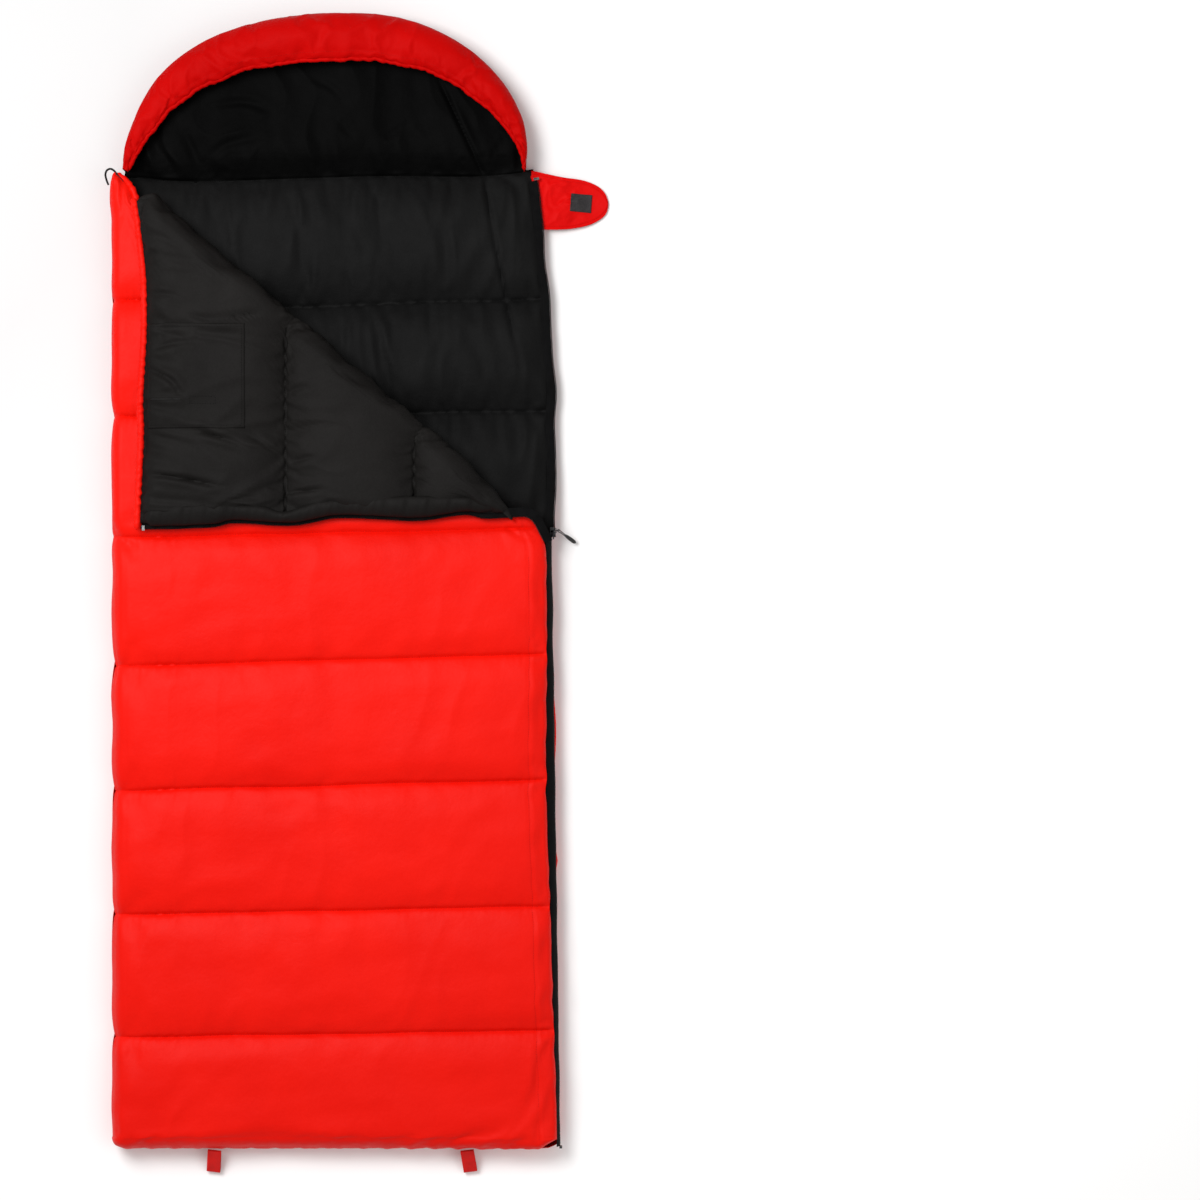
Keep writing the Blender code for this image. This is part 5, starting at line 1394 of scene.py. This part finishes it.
def stitches(name, seams, material, body):
    """Sewing thread along seams: one small lozenge for each stitch, sunk half into the cloth."""
    places, runs = [], []
    for seam in seams:
        even = evenly(seam, max(3, int(length_of(seam) / STITCH_PITCH)))
        run = np.gradient(even, axis=0)
        places.append(even)
        runs.append(run / np.maximum(np.linalg.norm(run, axis=1, keepdims=True), 1e-9))
    place, run = np.vstack(places), np.vstack(runs)
    side = np.cross((0, 0, 1), run)
    side /= np.maximum(np.linalg.norm(side, axis=1, keepdims=True), 1e-9)
    up = np.cross(run, side)
    place = place + up * 0.0003
    run, side, up = run * STITCH_LONG, side * STITCH_WIDE, up * STITCH_WIDE
    corners = np.stack([place - run, place + side, place + up, place - side, place - up, place + run], 1)
    near_end = [(0, 2, 1), (0, 3, 2), (0, 4, 3), (0, 1, 4)]
    far_end = [(5, 1, 2), (5, 2, 3), (5, 3, 4), (5, 4, 1)]
    faces = np.array(near_end + far_end)
    index = (np.arange(len(place))[:, None, None] * 6 + faces[None]).reshape(-1, 3)
    mesh = bpy.data.meshes.new(name)
    mesh.from_pydata(corners.reshape(-1, 3), [], index)
    mesh.validate()
    piece = add_piece(name, mesh, material, merge=False)
    outward(piece)
    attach(piece, body)
    return piece


CORD_ROUTE = (
    (-0.3936, 0.7598, 0.0600), (-0.4025, 0.7730, 0.0600), (-0.4130, 0.7860, 0.0600),
    (-0.4185, 0.7940, 0.0600), (-0.4260, 0.7985, 0.0590), (-0.4335, 0.7960, 0.0570),
    (-0.4370, 0.7880, 0.0540), (-0.4350, 0.7770, 0.0510), (-0.4320, 0.7690, 0.0480),
)  # fmt: skip
CORD_WIDE = 0.0040


def drawcord_loop():
    """The loop of drawcord at the neck, out of the hem and back into the side fold."""
    path = curve_through(CORD_ROUTE, 4)
    line = bpy.data.curves.new("drawcord_loop_braid", "CURVE")
    line.dimensions = "3D"
    line.bevel_depth = CORD_WIDE / 2
    line.bevel_resolution = 4
    line.use_fill_caps = True
    spline = line.splines.new("POLY")
    spline.points.add(len(path) - 1)
    spline.points.foreach_set("co", np.hstack([path, np.ones((len(path), 1))]).ravel())
    line.materials.append(CORD)
    cord = bpy.data.objects.new("drawcord_loop_braid", line)
    bpy.context.scene.collection.objects.link(cord)
    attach(cord, "bag")
    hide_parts("drawcord_loop")


TAB_TOP = (
    (0.3860, 0.8005), (0.4430, 0.7890), (0.4870, 0.7830), (0.5160, 0.7715), (0.5310, 0.7560),
    (0.5365, 0.7370),
)  # fmt: skip
TAB_BOTTOM = (
    (0.3950, 0.6860), (0.4500, 0.6868), (0.4940, 0.6945), (0.5200, 0.7070), (0.5325, 0.7200),
    (0.5365, 0.7370),
)  # fmt: skip


def closing_tab():
    """The round-ended tab, ruled between its two edges; it slopes down from the zip to the floor."""
    top, bottom = evenly(curve_through(TAB_TOP, 12), 80), evenly(curve_through(TAB_BOTTOM, 12), 80)
    v = np.linspace(0, 1, 61)[None, :, None]
    level = mix(bottom[:, None], top[:, None], v)
    x, y = level[..., 0], level[..., 1]
    width = np.linalg.norm(top - bottom, axis=1)[:, None]
    edge = np.minimum(v[..., 0], 1 - v[..., 0]) * width
    reach = (x - 0.390) / 0.146
    h = 0.0215 - 0.0175 * smooth(reach * 0.92) ** 0.8
    h = h + 0.0022 * cloud(x, y, 0.06, 141) * smooth(edge / 0.012)
    h = h + 0.0013 * ridges(x, y, 0.035, 143) * smooth(edge / 0.012) * smooth((0.50 - x) / 0.03)
    spokes = np.arctan2(y - 0.735, x - 0.500)
    fall = np.hypot(x - 0.483, y - 0.738)
    h = h + 0.0022 * ripple(spokes * 0.05, 0.024, 142) * np.exp(-fall / 0.045) * smooth((0.478 - x) / 0.02)
    h = h - 0.0010 * np.exp(-(((edge - 0.0065) / 0.0016) ** 2)) + 0.0006 * smooth((0.006 - edge) / 0.002)
    h = np.maximum(h, 0.0032)
    grid = np.stack([x, y, h], -1)
    tab = grid_piece("closing_tab_cloth", grid, TAB_CLOTH, thick=0.0020)
    outward_up(tab)
    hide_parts("closing_tab")
    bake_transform(tab)
    count = grid.shape[0]
    shares = np.clip(0.0065 / np.maximum(width[:, 0], 1e-4), 0, 0.5) * 60
    rows = np.arange(2.0, count - 6)
    low = read_grid(grid, rows, shares[2 : count - 6])
    high = read_grid(grid, rows, 60 - shares[2 : count - 6])
    seam_line = evenly(np.vstack([low, high[::-1]]), 200) + np.array([0, 0, 0.0002])
    seam = stitches("tab_edge_stitches", [seam_line], RED_THREAD, "tab")
    middle = np.array([0.4832, 0.7385])
    turn = np.radians(-4)
    u, w = np.meshgrid(np.linspace(-0.0205, 0.0205, 22), np.linspace(-0.0175, 0.0175, 20))
    px = middle[0] + u * np.cos(turn) - w * np.sin(turn)
    py = middle[1] + u * np.sin(turn) + w * np.cos(turn)
    rows = np.interp(px, np.maximum.accumulate(top[:, 0]), np.arange(count))
    columns = (py - np.interp(px, bottom[:, 0], bottom[:, 1])) / np.interp(px, top[:, 0], width[:, 0]) * 60
    pz = read_grid(grid, rows, np.clip(columns, 0, 59.9))[..., 2] + 0.0018
    patch = grid_piece("hook_patch_cloth", np.stack([px, py, pz], -1), HOOKS, thick=0.0014)
    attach(patch, "tab")
    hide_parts("hook_patch")


def moulded_grip():
    """The grip moulded on the pull cord: a rounded bar, wide x (1 - |2 s - 1|^5)^0.5 along its length s."""
    start, end = np.array((0.4508, 0.0920, 0.0256)), np.array((0.4728, 0.0760, 0.0098))
    along = (end - start) / np.linalg.norm(end - start)
    level = np.array((-along[1], along[0], 0)) / np.hypot(along[0], along[1])
    up = np.cross(level, -along)
    s = (0.5 - 0.5 * np.cos(np.linspace(0, np.pi, 60)))[:, None]
    turn = np.linspace(0, 2 * np.pi, 36, endpoint=False)[None, :]
    reach = np.sqrt(np.clip(1 - np.abs(2 * s - 1) ** 5, 0, 1)) * mix(0.72, 1.0, smooth(s / 0.5))
    reach = reach * (1 - 0.06 * np.exp(-(((np.mod(s * 7, 1) - 0.5) / 0.16) ** 2)) * smooth((s - 0.2) / 0.1))
    out, rise = 0.0039 * reach * np.cos(turn), 0.0026 * reach * np.sin(turn)
    middle = mix(start, end, s)[:, None, :]
    points = middle + out[..., None] * level + rise[..., None] * up
    grip = grid_piece("pull_grip_rubber", points, RUBBER, thick=0, ring_columns=True)
    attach(grip, "grip")
    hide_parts("pull_grip")
    outward(grip)


def outward_up(obj):
    """Makes sure that an open sheet faces up."""
    normals = np.empty(len(obj.data.polygons) * 3, np.float32)
    obj.data.polygons.foreach_get("normal", normals)
    if normals.reshape(-1, 3)[:, 2].mean() < 0:
        obj.data.flip_normals()


def finish_nodes():
    """Better finishes for the CAD pieces that show as they are."""
    finishes = {
        "slider_body": ENAMEL, "pull_ring": ENAMEL, "pull_cord": CORD,
        "zip_bottom_stop": STOP_METAL, "base_top_stop": STOP_METAL, "flap_top_stop": STOP_METAL,
        "hang_loop_left": WEBBING, "hang_loop_right": WEBBING, "loop_patch": LOOPS,
    }  # fmt: skip
    for name, material in finishes.items():
        node = bpy.data.objects[name] if name in bpy.data.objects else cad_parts[name]
        for slot in node.material_slots:
            slot.material = material


# ---------------------------------------------------------------- making
add_camera()
CORD = ribbed("braided_cord", grey(0.004), grey(0.012), 0.0012, "Y", depth=0.0004)
drawcord_loop()
add_studio()

DULL = (0.55, 0.7)
RED_CLOTH = woven("red_polyester", (0.655, 0.0040, 0.0008), (0.735, 0.0065, 0.0018), (0.42, 0.55), 0.08)
# the brim is the same red polyester as the shell, coloured darker as painted shade
BRIM_CLOTH_PAINTED_SHADE = woven("brim_polyester_painted_shade", (0.385, 0.0006, 0.0004), (0.455, 0.0012, 0.0008), (0.5, 0.62), 0.03)
TAB_CLOTH = woven("tab_polyester", (0.55, 0.0008, 0.0006), (0.65, 0.0018, 0.0014), specular=0.06, crease=0.6)
BLACK_LINING = woven("black_lining", grey(0.0026), grey(0.0050), DULL, 0.065)
HOOD_LINING = woven("hood_lining", grey(0.0004), grey(0.0014), DULL, 0.028)
WARM_LINING = woven("flap_lining_cloth", (0.0048, 0.0043, 0.0040), (0.0092, 0.0084, 0.0079), DULL, 0.065)
RED_THREAD = ribbed("red_thread", (0.42, 0.001, 0.001), (0.55, 0.003, 0.001), 0.0006, "Y")
BLACK_THREAD = ribbed("black_thread", grey(0.001), grey(0.004), 0.0006, "Y")
TAPE = ribbed(
    "zip_tape_weave", (0.0014, 0.0014, 0.0015), (0.0034, 0.0034, 0.0036), 0.0011, "Y", specular=0.06
)
COIL = moulded("nylon_coil", grey(0.003), grey(0.007), (0.30, 0.45), specular=0.3)
ENAMEL = moulded("black_enamel", (0.018, 0.018, 0.019), (0.045, 0.045, 0.048), (0.18, 0.34), metallic=0.7)
STOP_METAL = moulded("stop_metal", grey(0.03), grey(0.14), (0.20, 0.35), metallic=0.9)
RUBBER = moulded("moulded_rubber", grey(0.006), grey(0.013), (0.35, 0.5))
HOOKS = tufted("hook_tape", (0.003, 0.002, 0.003), (0.020, 0.014, 0.015))
DARK_HOOKS = tufted("pocket_hook_tape", grey(0.001), grey(0.003))
LOOPS = tufted("loop_tape", grey(0.010), (0.040, 0.038, 0.038))
WEBBING = ribbed("red_webbing", (0.50, 0.003, 0.002), (0.64, 0.006, 0.004), 0.0022, "X", depth=0.0005)

top_panel()
bottom_panel()
base_lining()
top_lining()
flap_grid = flap_lining()
flap_underside()
fold_crease()
neck_hems()
flap_draft_tube()
pocket(flap_grid)
brim()
hood_dart = hood_back()
hood_underside()
stitches("hood_dart_stitches", [hood_dart], BLACK_THREAD, "hood")
closed_zip()
open_zip()
closing_tab()
moulded_grip()
finish_nodes()
